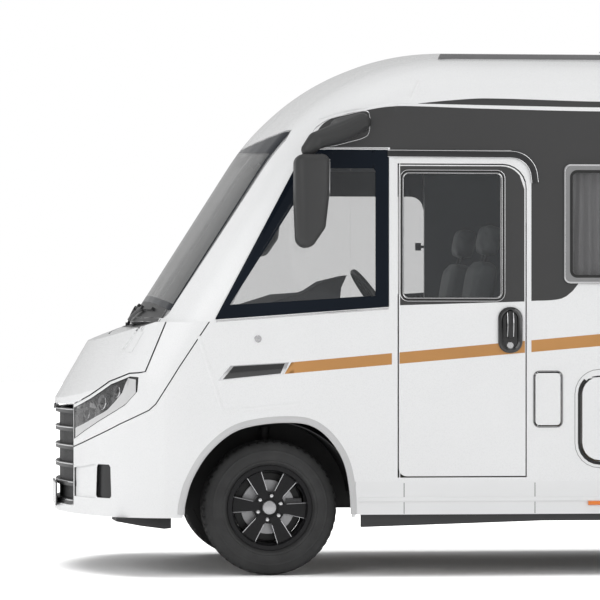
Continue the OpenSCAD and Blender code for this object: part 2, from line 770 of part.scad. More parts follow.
// Wheel pieces, axis across the car, outer face to +Y
// Half sections [radius, distance from the middle plane], mirrored to the other side
bead_r = 203.2;
function both_halves(half) = concat([for (p = rev(half)) [p[0], -p[1]]], half);
module tyre_shape() {
  h = tyre_w / 2;
  outer = [[tyre_r, h - 44], [tyre_r - 8, h - 22], [320, h - 6], [275, h], [232, 104], [222, 90],
    [bead_r, 88]];
  inner = [[215, 70], [260, 80], [330, 80]];
  rotate([-90, 0, 0]) rotate_extrude($fn = 72)
    polygon(concat(both_halves(outer), inner, [for (p = rev(inner)) [p[0], -p[1]]]));
}
// Rim with a barrel, wedge-shaped spokes, a hub and the brake disc
hub_r = 84;
spoke_turn = 5;
// Half widths of a spoke at the hub and at the barrel
spoke_in = 0.34 * spoke_w;
spoke_out = 0.64 * spoke_w;
barrel = [[189, -102], [221, -102], [221, -93], [203, -90], [203, -64], [196, -40], [196, 60], [203, 70],
  [203, 90], [221, 93], [221, 102], [200, 102], [189, 70]];
module rim_shape()
  rotate([-90, 0, 0])
    difference() {
      union() {
        rotate_extrude($fn = 72) polygon(barrel);
        translate([0, 0, -disc_in]) cylinder(disc_in + 62, hub_r, hub_r);
        for (k = [0:spokes - 1])
          rotate(k * 360 / spokes - spoke_turn) translate([0, 0, 34]) linear_extrude(42)
            polygon([[50, -spoke_in], [194, -spoke_out], [194, spoke_out], [50, spoke_in]]);
        translate([0, 0, -disc_in]) cylinder(disc_t, disc_r, disc_r);
      }
      translate([0, 0, -disc_in - 5]) cylinder(disc_in + 17, stub_r + pin_c, stub_r + pin_c);
    }
module at_wheel(u, s) translate([x_fa - u, s * wheel_y, tyre_r]) rotate([0, 0, s > 0 ? 0 : 180]) children();
module tyre_front_left() color("black") at_wheel(0, 1) tyre_shape();
module tyre_front_right() color("black") at_wheel(0, -1) tyre_shape();
module tyre_rear_left() color("black") at_wheel(wheelbase, 1) tyre_shape();
module tyre_rear_right() color("black") at_wheel(wheelbase, -1) tyre_shape();
module rim_front_left() color("dimgray") at_wheel(0, 1) rim_shape();
module rim_front_right() color("dimgray") at_wheel(0, -1) rim_shape();
module rim_rear_left() color("dimgray") at_wheel(wheelbase, 1) rim_shape();
module rim_rear_right() color("dimgray") at_wheel(wheelbase, -1) rim_shape();

// Doors: panes and the cab door's grip
pane_u0 = door_u + 26;
pane_u1 = door_u + door_w - 129;
door_pane = round_rect(pane_u0, door_hi - 690, pane_u1, door_hi - 47, 22);
entry_pane = round_rect(entry_u + 130, entry_hi - 820, entry_u + entry_w - 130, entry_hi - 200, 60);
module driver_door() color("white") {
  difference() {
    side_cut(door_pts, W - panel_t, W);
    in_wall(1, door_pane);
    post(door_u + pin_in, W - pin_in, door_lo - 5, door_lo + rise(door_r, pin_in) + pin_len + 2,
      pin_r + pin_c);
    post(door_u + pin_in, W - pin_in, door_hi - pin_len - 2, door_hi + 5, pin_r + pin_c);
  }
}
module driver_door_glass() color([0.3, 0.33, 0.36, 0.5]) in_wall(1, door_pane, 14, -6);
grip_u = door_u + door_w - 145;
module driver_door_handle() color("black")
  side_cut(round_rect(grip_u, 1167, grip_u + 128, 1407, 60), W, W + 22);
module entry_door() color("white") {
  difference() {
    side_cut(entry_pts(0), -W, -W + panel_t);
    in_wall(-1, entry_pane);
    door_pins(entry_u, entry_lo, entry_hi, entry_r, -1, pin_c);
  }
}
module entry_door_glass() color([0.3, 0.33, 0.36, 0.5]) in_wall(-1, entry_pane, 14, -6);
module garage_door_left() color("white") {
  difference() {
    side_cut(garage_pts(0), W - panel_t, W);
    flap_pins(garage_u, garage_u + garage_w, garage_lo + garage_h, garage_r, 1, pin_c);
  }
}
module garage_door_right() color("white") {
  difference() {
    side_cut(garage_pts(0), -W, -W + panel_t);
    flap_pins(garage_u, garage_u + garage_w, garage_lo + garage_h, garage_r, -1, pin_c);
  }
}
module locker_flap() color("white") {
  difference() {
    side_cut(locker_pts(0), W - panel_t, W);
    flap_pins(locker_u, locker_u + locker_w, locker_hi, locker_r, 1, pin_c);
  }
}
module service_flap() color("white") {
  difference() {
    side_cut(flap_pts(0), W - panel_t, W);
    flap_pins(flap_u, flap_u + flap_w, flap_hi, flap_r, 1, pin_c);
  }
}

// Cab fittings
// Wipers: blade ends [y, run up the glass], arm foot [y], lying on the glass
wiper_blades = [[-660, 46, -60, 76], [60, 46, 660, 76]];
module glass_strip(a, b, w, i0, i1) {
  d = [b[1] - a[1], a[0] - b[0]] * w / 2 / norm(b - a);
  intersection() {
    cab_sweep(i0, i1, 400);
    multmatrix([[0, -cos(screen_phi), sin(screen_phi), x_fa - glass_low_u - 200 * sin(screen_phi)],
        [1, 0, 0, 0], [0, sin(screen_phi), cos(screen_phi), glass_base - 200 * cos(screen_phi)],
        [0, 0, 0, 1]])
      linear_extrude(400) polygon([a + d, b + d, b - d, a - d]);
  }
}
module wipers() color("black") {
  for (b = wiper_blades) {
    glass_strip([b[0], b[1]], [b[2], b[3]], 16, -16, 0.7);
    glass_strip([b[0] - 20, -18], [(b[0] + b[2]) / 2, (b[1] + b[3]) / 2], 22, -26, -12);
    difference() {
      post(glass_low_u + 2, b[0] - 20, 1250, 1326, 12);
      nose_solid(-0.3);
    }
  }
}
// Mirrors made of balls [u, y, height over the pane's top, radius] with a skin drawn over them
mirror_pod = [[462, W + 6, 142, 50], [350, W + 6, 104, 60], [345, W + 70, 86, 56]];
mirror_arm = [[345, W + 70, 86, 56], [205, 1335, 36, 46]];
mirror_neck = [[205, 1335, 36, 46], [165, 1345, -11, 38]];
mirror_head = [[137, 1350, -81, 46], [228, 1350, -76, 42], [130, 1350, -266, 40], [228, 1350, -241, 40],
  [150, 1350, -464, 52], [205, 1350, -396, 45]];
mirror_half = 50;
module ball(b) translate([x_fa - b[0], b[1], pane_top + b[2]]) sphere(b[3], $fn = 18);
module skin(balls) hull() for (b = balls) ball(b);
module mirrors() color("dimgray")
  for (s = [-1, 1])
    on_side(s) {
      difference() {
        skin(mirror_pod);
        dome_turn(screen_phi, arch(crown_r, crown_c, -0.8, side_dep));
      }
      difference() {
        skin(mirror_arm);
        dome_turn(screen_phi, arch(crown_r, crown_c, -0.8, side_dep));
      }
      skin(mirror_neck);
      skin([for (b = mirror_head, y = [-mirror_half, mirror_half]) [b[0], b[1] + y, b[2], b[3]]]);
    }
// Steering column: its place, slope and the wheel
column = [612, 480, 1434];
column_tilt = 54;
column_r = 30;
module at_column()
  translate([x_fa - column[0], column[1], column[2]]) rotate([0, -column_tilt, 0]) children();
// Dashboard in side view, and the hood over the instruments
dash_outline = [[-590, 1240], [-590, 1290], [-480, 1290], [-470, 1340], [-43, 1418], [177, 1487], [300, 1490],
  [380, 1440], [400, 1240], [300, 1080], [-260, 900], [-300, 900], [-300, 1000]];
hood_outline = [[160, 1470], [237, 1500], [312, 1548], [437, 1578], [407, 1513], [400, 1450], [300, 1440]];
dash_y = W - 95;
hood_half = 190;
module dashboard() color("dimgray")
  difference() {
    union() {
      intersection() {
        side_cut(dash_outline, -dash_y, dash_y);
        union() {
          nose_solid(cab_t + 6);
          intersection() {
            screen_solid(cab_t + 51);
            slab(-560, 500, -dash_y - 5, dash_y + 5, split_z - cab_t - 10, 1600);
          }
        }
      }
      side_cut(hood_outline, column[1] - hood_half, column[1] + hood_half);
    }
    at_column() translate([0, 0, -400]) cylinder(390, column_r + pin_c, column_r + pin_c);
  }
module steering_wheel() color("black")
  at_column() {
    rotate_extrude($fn = 48) translate([200, 0]) circle(16, $fn = 16);
    translate([0, 0, -14]) cylinder(24, 55, 55);
    for (a = [30, 150, 270]) rotate(a) translate([40, -16, -8]) cube([150, 32, 16]);
    translate([0, 0, -300]) cylinder(290, column_r, column_r);
  }
// Seats in side view: pedestal, cushion with backrest, headrest on two stalks
seat_y = 480;
seat_low = 960;
seat_outline = [[580, seat_low], [1130, seat_low], [1260, 1660], [1150, 1680], [1040, 1120], [580, 1100]];
headrest_outline = [[1155, 1690], [1265, 1670], [1295, 1840], [1190, 1860]];
module cab_seats() color("gray")
  for (y = [-seat_y, seat_y]) {
    slab(730, 1110, y - 180, y + 180, floor_top, seat_low);
    side_cut(seat_outline, y - 240, y + 240);
    side_cut(headrest_outline, y - 130, y + 130);
    for (k = [-60, 60]) bar([1190, y + k, 1620], [1218, y + k, 1760], 7);
  }
// Furniture: [from u, to u, from y, to y, from z, to z]
units = [[1500, 2400, box_y, W - wall_t, floor_top, 960],
  [wheelbase - 1365, wheelbase - box_half - 10, 520, W - wall_t, floor_top, 1400],
  [wheelbase - 1205, wheelbase - box_half - 20, -W + wall_t, -box_y, floor_top, 1420],
  [wheelbase + 455, u_tail - 5, -W + wall_t, W - wall_t, 1640, 1690]];
module interior_units() color("burlywood")
  for (b = units) slab(b[0], b[1], b[2], b[3], b[4], b[5]);

chassis_frame();
floor_panel();
wall_left();
wall_right();
wall_rear();
roof_panel();
cab_top();
front_mask();
wing_left();
wing_right();
front_bumper();
bonnet();
cab_glazing();
grille();
headlamp_bowls();
headlamp_lenses();
wipers();
mirrors();
dashboard();
steering_wheel();
cab_seats();
interior_units();
side_skirts();
sills();
roof_rails();
roof_lights();
window_frames();
window_panes();
engine_block();
front_axle();
rear_axle();
underfloor_tanks();
rear_bumper();
rear_lamps();
wheel_liners();
knuckle_left();
knuckle_right();
tyre_front_left();
tyre_front_right();
tyre_rear_left();
tyre_rear_right();
rim_front_left();
rim_front_right();
rim_rear_left();
rim_rear_right();
driver_door();
driver_door_glass();
driver_door_handle();
entry_door();
entry_door_glass();
garage_door_left();
garage_door_right();
locker_flap();
service_flap();
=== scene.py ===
"""Looks of the motorhome: paint, glass, rubber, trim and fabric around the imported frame, in metres."""

import math

import bmesh
import bpy
from mathutils import Matrix, Vector
from mathutils.bvhtree import BVHTree


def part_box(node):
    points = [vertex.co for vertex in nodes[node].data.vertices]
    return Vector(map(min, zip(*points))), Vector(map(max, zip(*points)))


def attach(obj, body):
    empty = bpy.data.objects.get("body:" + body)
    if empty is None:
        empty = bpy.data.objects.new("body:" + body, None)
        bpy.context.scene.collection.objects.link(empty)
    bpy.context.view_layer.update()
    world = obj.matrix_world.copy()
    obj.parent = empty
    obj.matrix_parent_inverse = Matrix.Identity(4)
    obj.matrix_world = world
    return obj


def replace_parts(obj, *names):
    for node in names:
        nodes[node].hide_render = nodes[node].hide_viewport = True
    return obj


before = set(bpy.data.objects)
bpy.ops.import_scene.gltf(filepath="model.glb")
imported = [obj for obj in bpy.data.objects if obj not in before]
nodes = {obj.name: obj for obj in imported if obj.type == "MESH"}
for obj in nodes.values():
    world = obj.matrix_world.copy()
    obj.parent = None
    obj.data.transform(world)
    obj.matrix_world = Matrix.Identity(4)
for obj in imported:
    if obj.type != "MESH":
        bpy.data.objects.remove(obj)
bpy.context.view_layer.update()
scene = bpy.context.scene

# Places in the frame: u is millimetres behind the front axle, y across, z up
MM = 0.001
TYRE_LOW, TYRE_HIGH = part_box("tyre_front_left")
FRONT_AXLE = (TYRE_LOW[0] + TYRE_HIGH[0]) / 2
REAR_AXLE = sum(c[0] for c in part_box("tyre_rear_left")) / 2
HUB_Z = (TYRE_LOW[2] + TYRE_HIGH[2]) / 2
WHEEL_Y = (TYRE_LOW[1] + TYRE_HIGH[1]) / 2
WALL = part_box("wall_left")[1][1] / MM
REAR_U = (FRONT_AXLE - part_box("wall_left")[0][0]) / MM
REAR_AXLE_U = (FRONT_AXLE - REAR_AXLE) / MM
SIDE_NAME = {1: "left", -1: "right"}


def at(u, y, z):
    return Vector((FRONT_AXLE - u * MM, y * MM, z * MM))


def spaced(start, end, steps):
    return [start + (end - start) * k / steps for k in range(steps + 1)]


# Materials
class Graph:
    """One node tree. Inputs go by socket, each a value or the output that feeds it."""

    def __init__(self, tree):
        self.tree = tree

    def set(self, node, inputs):
        for key, value in inputs.items():
            if isinstance(value, bpy.types.NodeSocket):
                self.tree.links.new(value, node.inputs[key])
            else:
                node.inputs[key].default_value = value

    def add(self, kind, inputs, out=None, **settings):
        """New node, or the one of its outputs that is asked for."""
        node = self.tree.nodes.new(kind)
        for key, value in settings.items():
            setattr(node, key, value)
        self.set(node, inputs)
        return node if out is None else node.outputs[out]

    def noise(self, scale, detail=4.0, stretch=(1, 1, 1)):
        place = self.add("ShaderNodeTexCoord", {}, "Object")
        place = self.add("ShaderNodeMapping", {"Scale": stretch, "Vector": place}, "Vector")
        return self.add("ShaderNodeTexNoise", {"Scale": scale, "Detail": detail, "Vector": place}, "Fac")

    def spread(self, value, low, high, start=0.25, end=0.75):
        inputs = {"From Min": start, "From Max": end, "To Min": low, "To Max": high, "Value": value}
        return self.add("ShaderNodeMapRange", inputs, "Result")

    def tint(self, value, dark, light):
        inputs = {"A": (*dark, 1), "B": (*light, 1), "Factor": value}
        return self.add("ShaderNodeMix", inputs, "Result", data_type="RGBA")

    def seen(self):
        """1 for rays from the eye and through glass."""
        path = self.add("ShaderNodeLightPath", {})
        inputs = {0: path.outputs["Is Camera Ray"], 1: path.outputs["Is Transmission Ray"]}
        return self.add("ShaderNodeMath", inputs, 0, operation="MAXIMUM")


def material(name):
    mat = bpy.data.materials.new(name)
    mat.use_nodes = True
    return mat, Graph(mat.node_tree), mat.node_tree.nodes["Principled BSDF"]


FINE_DETAIL, ROUGH_SPREAD, COAT_ROUGH = 6.0, 0.15, 0.06


def finish(name, colour, rough, vary=0.05, patch=3.0, grain=300.0, bump=0.05, depth=0.0004, metallic=0.0,
           coat=0.0, sheen=0.0, stretch=(1, 1, 1), shine=0.5):
    """Surface whose colour, roughness and relief vary by noise: patch and grain are waves per metre."""
    mat, graph, shader = material(name)
    broad = graph.noise(patch)
    fine = graph.noise(grain, FINE_DETAIL, stretch)
    dark = [c * (1 - vary) for c in colour]
    light = [min(1.0, c * (1 + vary)) for c in colour]
    roughest = min(1.0, rough * (1 + ROUGH_SPREAD))
    relief = {"Strength": bump, "Distance": depth, "Height": fine}
    graph.set(shader, {
        "Base Color": graph.tint(graph.spread(broad, 0, 1), dark, light),
        "Roughness": graph.spread(fine, rough * (1 - ROUGH_SPREAD), roughest),
        "Normal": graph.add("ShaderNodeBump", relief, "Normal"),
        "Metallic": metallic,
        "Specular IOR Level": shine,
        "Sheen Weight": sheen,
        "Coat Weight": coat,
        "Coat Roughness": COAT_ROUGH,
    })
    return mat


MIRROR_POWER, MIRROR_FACING = 5.0, 0.03


def pane_glass(name, colour, veil, rough=0.03):
    """Thin pane: veil is the share of light that each of its faces holds back."""
    mat, graph, shader = material(name)
    colours = graph.tint(graph.noise(2.0), [c * 0.9 for c in colour], colour)
    graph.set(shader, {"Alpha": veil, "Roughness": rough, "Base Color": colours})
    mirror = graph.add("ShaderNodeBsdfGlossy", {"Roughness": rough}, "BSDF")
    facing = graph.add("ShaderNodeLayerWeight", {"Blend": 0.5}, "Facing")
    steep = graph.add("ShaderNodeMath", {0: facing, 1: MIRROR_POWER}, 0, operation="POWER")
    inputs = {0: steep, 1: 1 - MIRROR_FACING, 2: MIRROR_FACING}
    share = graph.add("ShaderNodeMath", inputs, 0, operation="MULTIPLY_ADD")
    inputs = {"Fac": share, 1: shader.outputs["BSDF"], 2: mirror}
    mixed = graph.add("ShaderNodeMixShader", inputs, "Shader")
    graph.set(mat.node_tree.nodes["Material Output"], {"Surface": mixed})
    return mat


PAINT = finish("white_gelcoat", (0.83, 0.835, 0.84), 0.28, vary=0.012, bump=0.02, coat=0.35)
SKIRT_PAINT = finish("white_skirt", (0.80, 0.805, 0.81), 0.34, vary=0.015, bump=0.02, coat=0.2)
DECOR = finish("grey_film", (0.036, 0.036, 0.0365), 0.46, bump=0.03)
COPPER = finish("copper_film", (0.53, 0.262, 0.085), 0.38, vary=0.06, grain=900, bump=0.04, metallic=0.25)
FRIT = finish("glass_border", (0.009, 0.0125, 0.019), 0.16, vary=0.10, bump=0.01, shine=0.08)
TRIM = finish("grained_trim", (0.033, 0.0335, 0.034), 0.5, vary=0.10, grain=700, bump=0.25, depth=0.0003)
SATIN_BLACK = finish("satin_black", (0.016, 0.016, 0.017), 0.35, vary=0.15, grain=500, bump=0.12)
GLOSS_BLACK = finish("gloss_black", (0.012, 0.012, 0.013), 0.14, vary=0.15, bump=0.01, coat=0.8)
GRILLE_MESH = finish("grille_mesh", (0.028, 0.028, 0.029), 0.6, vary=0.3, grain=160, bump=0.9, depth=0.004)
RUBBER = finish("seal_rubber", (0.014, 0.014, 0.014), 0.7, vary=0.2, grain=400, bump=0.2)
TYRE_RUBBER = finish("tyre_rubber", (0.036, 0.036, 0.0365), 0.75, vary=0.25, patch=9, grain=260, bump=0.3)
CHROME = finish("bright_trim", (0.72, 0.72, 0.73), 0.16, vary=0.04, grain=200, bump=0.02, metallic=1.0)
GREY_FRAME = finish("grey_frame", (0.235, 0.235, 0.238), 0.45, grain=600, bump=0.1)
RIM_BLACK = finish("rim_lacquer", (0.010, 0.010, 0.011), 0.3, vary=0.2, bump=0.03, coat=0.1, shine=0.2)
# Wheel-arch lips: a grey that is painted shade on a white lip
ARCH_PAINTED_SHADE = finish("arch_lip_painted_shade", (0.56, 0.56, 0.565), 0.45, vary=0.03, grain=400, bump=0.08)
BEZEL = finish("lamp_bezel", (0.62, 0.62, 0.625), 0.3, vary=0.03, bump=0.02, coat=0.4)
DISC_STEEL = finish("brake_steel", (0.42, 0.42, 0.43), 0.34, vary=0.15, grain=600, bump=0.2, metallic=0.9)
CHASSIS = finish("chassis_paint", (0.022, 0.022, 0.023), 0.6, vary=0.25, grain=200, bump=0.3)
CASTING = finish("cast_metal", (0.22, 0.22, 0.225), 0.6, vary=0.2, grain=250, bump=0.5, metallic=0.6)
TANK = finish("tank_plastic", (0.030, 0.030, 0.031), 0.6, vary=0.15, bump=0.2)
DASH = finish("dash_skin", (0.035, 0.037, 0.04), 0.62, vary=0.1, grain=900, bump=0.5, depth=0.0005)
FLOORING = finish("floor_laminate", (0.30, 0.24, 0.18), 0.45, vary=0.3, patch=6, grain=60, bump=0.1,
                  stretch=(1, 12, 1))
WOOD = finish("furniture_wood", (0.40, 0.27, 0.16), 0.4, vary=0.35, patch=2, grain=40, bump=0.1,
              stretch=(1, 1, 14))
SEAT = finish("seat_leather", (0.105, 0.118, 0.12), 0.55, vary=0.08, grain=420, bump=0.5, sheen=0.1)
CURTAIN = finish("curtain_cloth", (0.40, 0.40, 0.41), 0.85, vary=0.08, grain=900, bump=0.5, sheen=0.3)
RED_LENS = finish("red_lens", (0.45, 0.012, 0.012), 0.12, vary=0.1, coat=0.8)
AMBER_LENS = finish("amber_lens", (0.80, 0.20, 0.015), 0.15, vary=0.1, coat=0.8)
RIM_EDGE = finish("rim_edge", (0.38, 0.38, 0.39), 0.25, vary=0.1, metallic=1.0)
CAP_SILVER = finish("cap_silver", (0.50, 0.50, 0.51), 0.3, vary=0.06, grain=500, bump=0.06, metallic=0.8)
MIRROR = finish("mirror_silver", (0.80, 0.80, 0.81), 0.03, vary=0.01, bump=0.0, metallic=1.0)
RAIL_GREY = finish("rail_grey", (0.16, 0.16, 0.163), 0.4, vary=0.06, grain=500, bump=0.1)
PALE_LINING = finish("pillar_lining", (0.62, 0.625, 0.63), 0.8, vary=0.04, bump=0.1)
# Cabin lining: its own dark grey, darkened further as painted shade of the dim cabin
CABIN_LINING_AND_SHADE = finish("cabin_lining_and_painted_shade", (0.085, 0.095, 0.108), 0.9, vary=0.15, grain=500, bump=0.4, sheen=0.1)
SCREEN_GLASS = pane_glass("screen_glass", (0.085, 0.092, 0.10), 0.14)
WINDOW_GLASS = pane_glass("window_glass", (0.12, 0.12, 0.122), 0.27)
LENS_GLASS = pane_glass("lens_glass", (0.30, 0.30, 0.31), 0.10)
ROOF_GLASS = pane_glass("roof_acrylic", (0.30, 0.31, 0.33), 0.55, 0.15)

# Nodes of the shell that look into the cabin
LINED = ["wall_left", "wall_right", "wall_rear", "roof_panel", "cab_top", "front_mask", "wing_left",
         "wing_right", "driver_door", "entry_door"]
NODE_FINISH = {
    PAINT: [*LINED, "front_bumper", "bonnet", "garage_door_left", "garage_door_right", "locker_flap",
            "service_flap"],
    SKIRT_PAINT: ["side_skirts", "rear_bumper"],
    GLOSS_BLACK: ["headlamp_bowls"],
    TRIM: ["mirrors", "sills", "driver_door_handle"],
    RAIL_GREY: ["roof_rails"],
    SATIN_BLACK: ["grille", "wipers", "steering_wheel"],
    GREY_FRAME: ["window_frames"],
    DASH: ["dashboard"],
    SCREEN_GLASS: ["cab_glazing", "driver_door_glass", "entry_door_glass"],
    WINDOW_GLASS: ["window_panes"],
    LENS_GLASS: ["headlamp_lenses"],
    ROOF_GLASS: ["roof_lights"],
    CHASSIS: ["chassis_frame", "front_axle", "rear_axle", "wheel_liners"],
    CASTING: ["engine_block", "knuckle_left", "knuckle_right"],
    TANK: ["underfloor_tanks"],
    FLOORING: ["floor_panel"],
    WOOD: ["interior_units"],
    SEAT: ["cab_seats"],
    RED_LENS: ["rear_lamps"],
    TYRE_RUBBER: ["tyre_front_left", "tyre_front_right", "tyre_rear_left", "tyre_rear_right"],
    RIM_BLACK: ["rim_front_left", "rim_front_right", "rim_rear_left", "rim_rear_right"],
}


# Smooth shading over faces that meet at a small angle
SMOOTH_LIMIT, WELD = 24, 0.00005


def smoothing_group(limit_deg):
    tree = bpy.data.node_groups.new("smooth_by_angle_%d" % limit_deg, "GeometryNodeTree")
    for way in ("INPUT", "OUTPUT"):
        tree.interface.new_socket("Geometry", in_out=way, socket_type="NodeSocketGeometry")
    graph = Graph(tree)
    start = graph.add("NodeGroupInput", {}, 0)
    plain = graph.add("GeometryNodeRemoveAttribute", {"Name": "custom_normal", "Geometry": start}, "Geometry")
    welded = graph.add("GeometryNodeMergeByDistance", {"Distance": WELD, "Geometry": plain}, "Geometry")
    faces = graph.add("GeometryNodeSetShadeSmooth", {"Geometry": welded}, "Geometry")
    angle = graph.add("GeometryNodeInputMeshEdgeAngle", {}, "Unsigned Angle")
    inputs = {"A": angle, "B": math.radians(limit_deg)}
    sharp = graph.add("FunctionNodeCompare", inputs, "Result", operation="GREATER_THAN")
    inputs = {"Shade Smooth": False, "Selection": sharp, "Geometry": faces}
    edges = graph.add("GeometryNodeSetShadeSmooth", inputs, "Geometry", domain="EDGE")
    graph.add("NodeGroupOutput", {0: edges})
    return tree


SMOOTH = smoothing_group(SMOOTH_LIMIT)


def smooth(obj):
    obj.modifiers.new("smooth", "NODES").node_group = SMOOTH


for mat, names in NODE_FINISH.items():
    for name in names:
        mesh = nodes[name].data
        mesh.materials.clear()
        mesh.materials.append(mat)
        smooth(nodes[name])


def placed(name, data):
    obj = bpy.data.objects.new(name, data)
    scene.collection.objects.link(obj)
    return obj


# Camera of the photograph: ahead of the front axle, level, turned a little towards the tail
CAMERA_AHEAD, CAMERA_SIDE, CAMERA_HEIGHT = 1.7606, 20.888, 1.3393
CAMERA_YAW = math.radians(5.5)
CAMERA_LENS, CAMERA_RAISE, CAMERA_REACH = 229.2, 1 / 30, 200
camera = placed("camera", bpy.data.cameras.new("camera"))
right = Vector((-math.cos(CAMERA_YAW), math.sin(CAMERA_YAW), 0))
back = Vector((math.sin(CAMERA_YAW), math.cos(CAMERA_YAW), 0))
eye = Matrix.Translation((FRONT_AXLE + CAMERA_AHEAD, CAMERA_SIDE, CAMERA_HEIGHT))
camera.matrix_world = eye @ Matrix((right, Vector((0, 0, 1)), back)).transposed().to_4x4()
camera.data.lens = CAMERA_LENS
camera.data.shift_y = CAMERA_RAISE
camera.data.clip_end = CAMERA_REACH
scene.camera = camera

# Floor, light and white surroundings
scene.view_settings.view_transform = "Standard"
AMBIENT = 0.52
WHITE = (1, 1, 1, 1)
scene.world = bpy.data.worlds.new("surround")
scene.world.use_nodes = True
sky = Graph(scene.world.node_tree)
strength = sky.spread(sky.seen(), AMBIENT, 1.0, 0, 1)
sky.set(scene.world.node_tree.nodes["Background"], {"Color": WHITE, "Strength": strength})

FLOOR_SIZE, FLOOR_GLOW, FLOOR_SEEN, FLOOR_BOUNCE = 120.0, 0.03, 0.9, 0.5
floor_mat, floor_graph, floor_shader = material("pale_floor")
seen = floor_graph.seen()
floor_graph.set(floor_shader, {
    "Base Color": floor_graph.spread(seen, FLOOR_BOUNCE, FLOOR_SEEN, 0, 1),
    "Roughness": 1.0,
    "Specular IOR Level": 0.0,
    "Emission Color": WHITE,
    "Emission Strength": floor_graph.add("ShaderNodeMath", {0: seen, 1: FLOOR_GLOW}, 0, operation="MULTIPLY"),
})
half = FLOOR_SIZE / 2
floor_mesh = bpy.data.meshes.new("floor")
corners = [(-half, -half, 0), (half, -half, 0), (half, half, 0), (-half, half, 0)]
floor_mesh.from_pydata(corners, [], [(0, 1, 2, 3)])
floor_mesh.materials.append(floor_mat)
floor = placed("floor", floor_mesh)

# Soft lamps: name, place, aim, size, power, mirrored in the bodywork
LAMPS = [
    ("key", (8.5, 9.5, 6.5), (1.6, 0.8, 1.2), 9.0, 270, True),
    ("top", (0.0, 2.5, 11.0), (0.0, 0.0, 0.0), 10.0, 110, True),
    ("fill", (-6.0, 10.0, 5.0), (0.0, 0.5, 1.2), 8.0, 230, True),
    ("front", (13.0, 1.0, 5.0), (3.0, 0.0, 1.0), 6.0, 230, False),
    ("far", (2.0, -11.0, 7.0), (0.0, 0.0, 1.2), 8.0, 160, False),
]
for name, place, aim, size, power, mirrored in LAMPS:
    light = bpy.data.lights.new(name, "AREA")
    light.shape = "DISK"
    light.size = size
    light.energy = power
    lamp = placed(name, light)
    lamp.location = place
    lamp.rotation_mode = "QUATERNION"
    lamp.rotation_quaternion = (Vector(aim) - Vector(place)).to_track_quat("-Z", "Y")
    lamp.visible_glossy = mirrored

# Wash from straight above that falls on the floor alone, so that it is white outside the shadow
WASH, WASH_SPREAD = 3.4, math.radians(60)
wash_light = bpy.data.lights.new("wash", "SUN")
wash_light.energy = WASH
wash_light.angle = WASH_SPREAD
wash = placed("wash", wash_light)
washed = bpy.data.collections.new("washed")
washed.objects.link(floor)
wash.light_linking.receiver_collection = washed


# Mesh building
UPRIGHT = 0.9


def full_turn(steps):
    """Cosines and sines round a circle."""
    turns = [2 * math.pi * k / steps for k in range(steps)]
    return [(math.cos(a), math.sin(a)) for a in turns]


class Shape:
    """Points and faces gathered for one piece."""

    def __init__(self):
        self.points = []
        self.faces = []

    def rows(self, rows, loop=False, ends=False):
        """Skin over rows of points. loop closes each row on itself, ends caps the first and last rows."""
        start = len(self.points)
        count = len(rows[0])
        for row in rows:
            self.points += [Vector(p) for p in row]
        for i in range(len(rows) - 1):
            for j in range(count if loop else count - 1):
                a = start + i * count + j
                b = start + i * count + (j + 1) % count
                self.faces.append((a, b, b + count, a + count))
        if ends:
            last = start + (len(rows) - 1) * count
            self.faces.append(tuple(range(start, start + count)))
            self.faces.append(tuple(range(last, last + count)))

    def solid(self, rings):
        self.rows(rings, loop=True, ends=True)

    def turned(self, centre, axis, profile, steps=32):
        """Solid of revolution: profile is [distance from axis, place along it], closed at both ends."""
        axis = Vector(axis).normalized()
        side = axis.orthogonal().normalized()
        other = axis.cross(side)
        self.solid([[centre + axis * h + (side * c + other * n) * r for c, n in full_turn(steps)]
                    for r, h in profile])

    def box(self, low, high):
        corners = [(low[0], low[1]), (high[0], low[1]), (high[0], high[1]), (low[0], high[1])]
        self.solid([[(x, y, z) for x, y in corners] for z in (low[2], high[2])])

    def tube(self, path, radius, steps=8):
        """Round tube along a path of points."""
        rings = []
        for k, point in enumerate(path):
            ahead = path[min(k + 1, len(path) - 1)] - path[max(k - 1, 0)]
            upright = abs(ahead.normalized().z) > UPRIGHT
            side = (ahead.orthogonal() if upright else ahead.cross(Vector((0, 0, 1)))).normalized()
            other = ahead.normalized().cross(side)
            rings.append([point + (side * c + other * n) * radius for c, n in full_turn(steps)])
        self.solid(rings)

    def piece(self, name, mat, slot, body="body", shaded=True):
        mesh = bpy.data.meshes.new(name)
        mesh.from_pydata([tuple(p) for p in self.points], [], self.faces)
        shape = bmesh.new()
        shape.from_mesh(mesh)
        bmesh.ops.recalc_face_normals(shape, faces=shape.faces)
        shape.to_mesh(mesh)
        shape.free()
        mesh.materials.append(mat)
        obj = placed(name, mesh)
        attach(obj, body)
        if shaded:
            smooth(obj)
        return obj


RAY_START = 3000
SCREEN_SLOPE = math.radians(57.5)
SCREEN_BASE_U, SCREEN_BASE_Z = -588.0, 1318.0


class Surface:
    """Outer skin of some CAD nodes, found by rays."""

    def __init__(self, *names):
        points, faces = [], []
        for name in names:
            mesh = nodes[name].data
            start = len(points)
            points += [v.co.copy() for v in mesh.vertices]
            faces += [[start + i for i in f.vertices] for f in mesh.polygons]
        self.tree = BVHTree.FromPolygons(points, faces)

    def side(self, u, z, s):
        """Point and normal where a ray from side s meets the skin, or those of the wall plane."""
        hit, normal, _, _ = self.tree.ray_cast(at(u, s * RAY_START, z), Vector((0, -s, 0)))
        if hit is None or hit.y * s < 0:
            return at(u, s * WALL, z), Vector((0, s, 0))
        return hit, normal

    def front(self, y, z):
        """Point and normal where a ray from ahead meets the skin, or nothing twice."""
        return self.tree.ray_cast(at(-RAY_START, y, z), Vector((-1, 0, 0)))[:2]

    def screen(self, y, run):
        """Point and normal on the windscreen: run is millimetres up the glass from its base."""
        rise, reach = math.sin(SCREEN_SLOPE), math.cos(SCREEN_SLOPE)
        start = at(SCREEN_BASE_U + run * reach, y, SCREEN_BASE_Z + run * rise)
        out = Vector((rise, 0, reach))
        return self.tree.ray_cast(start + out, -out)[:2]


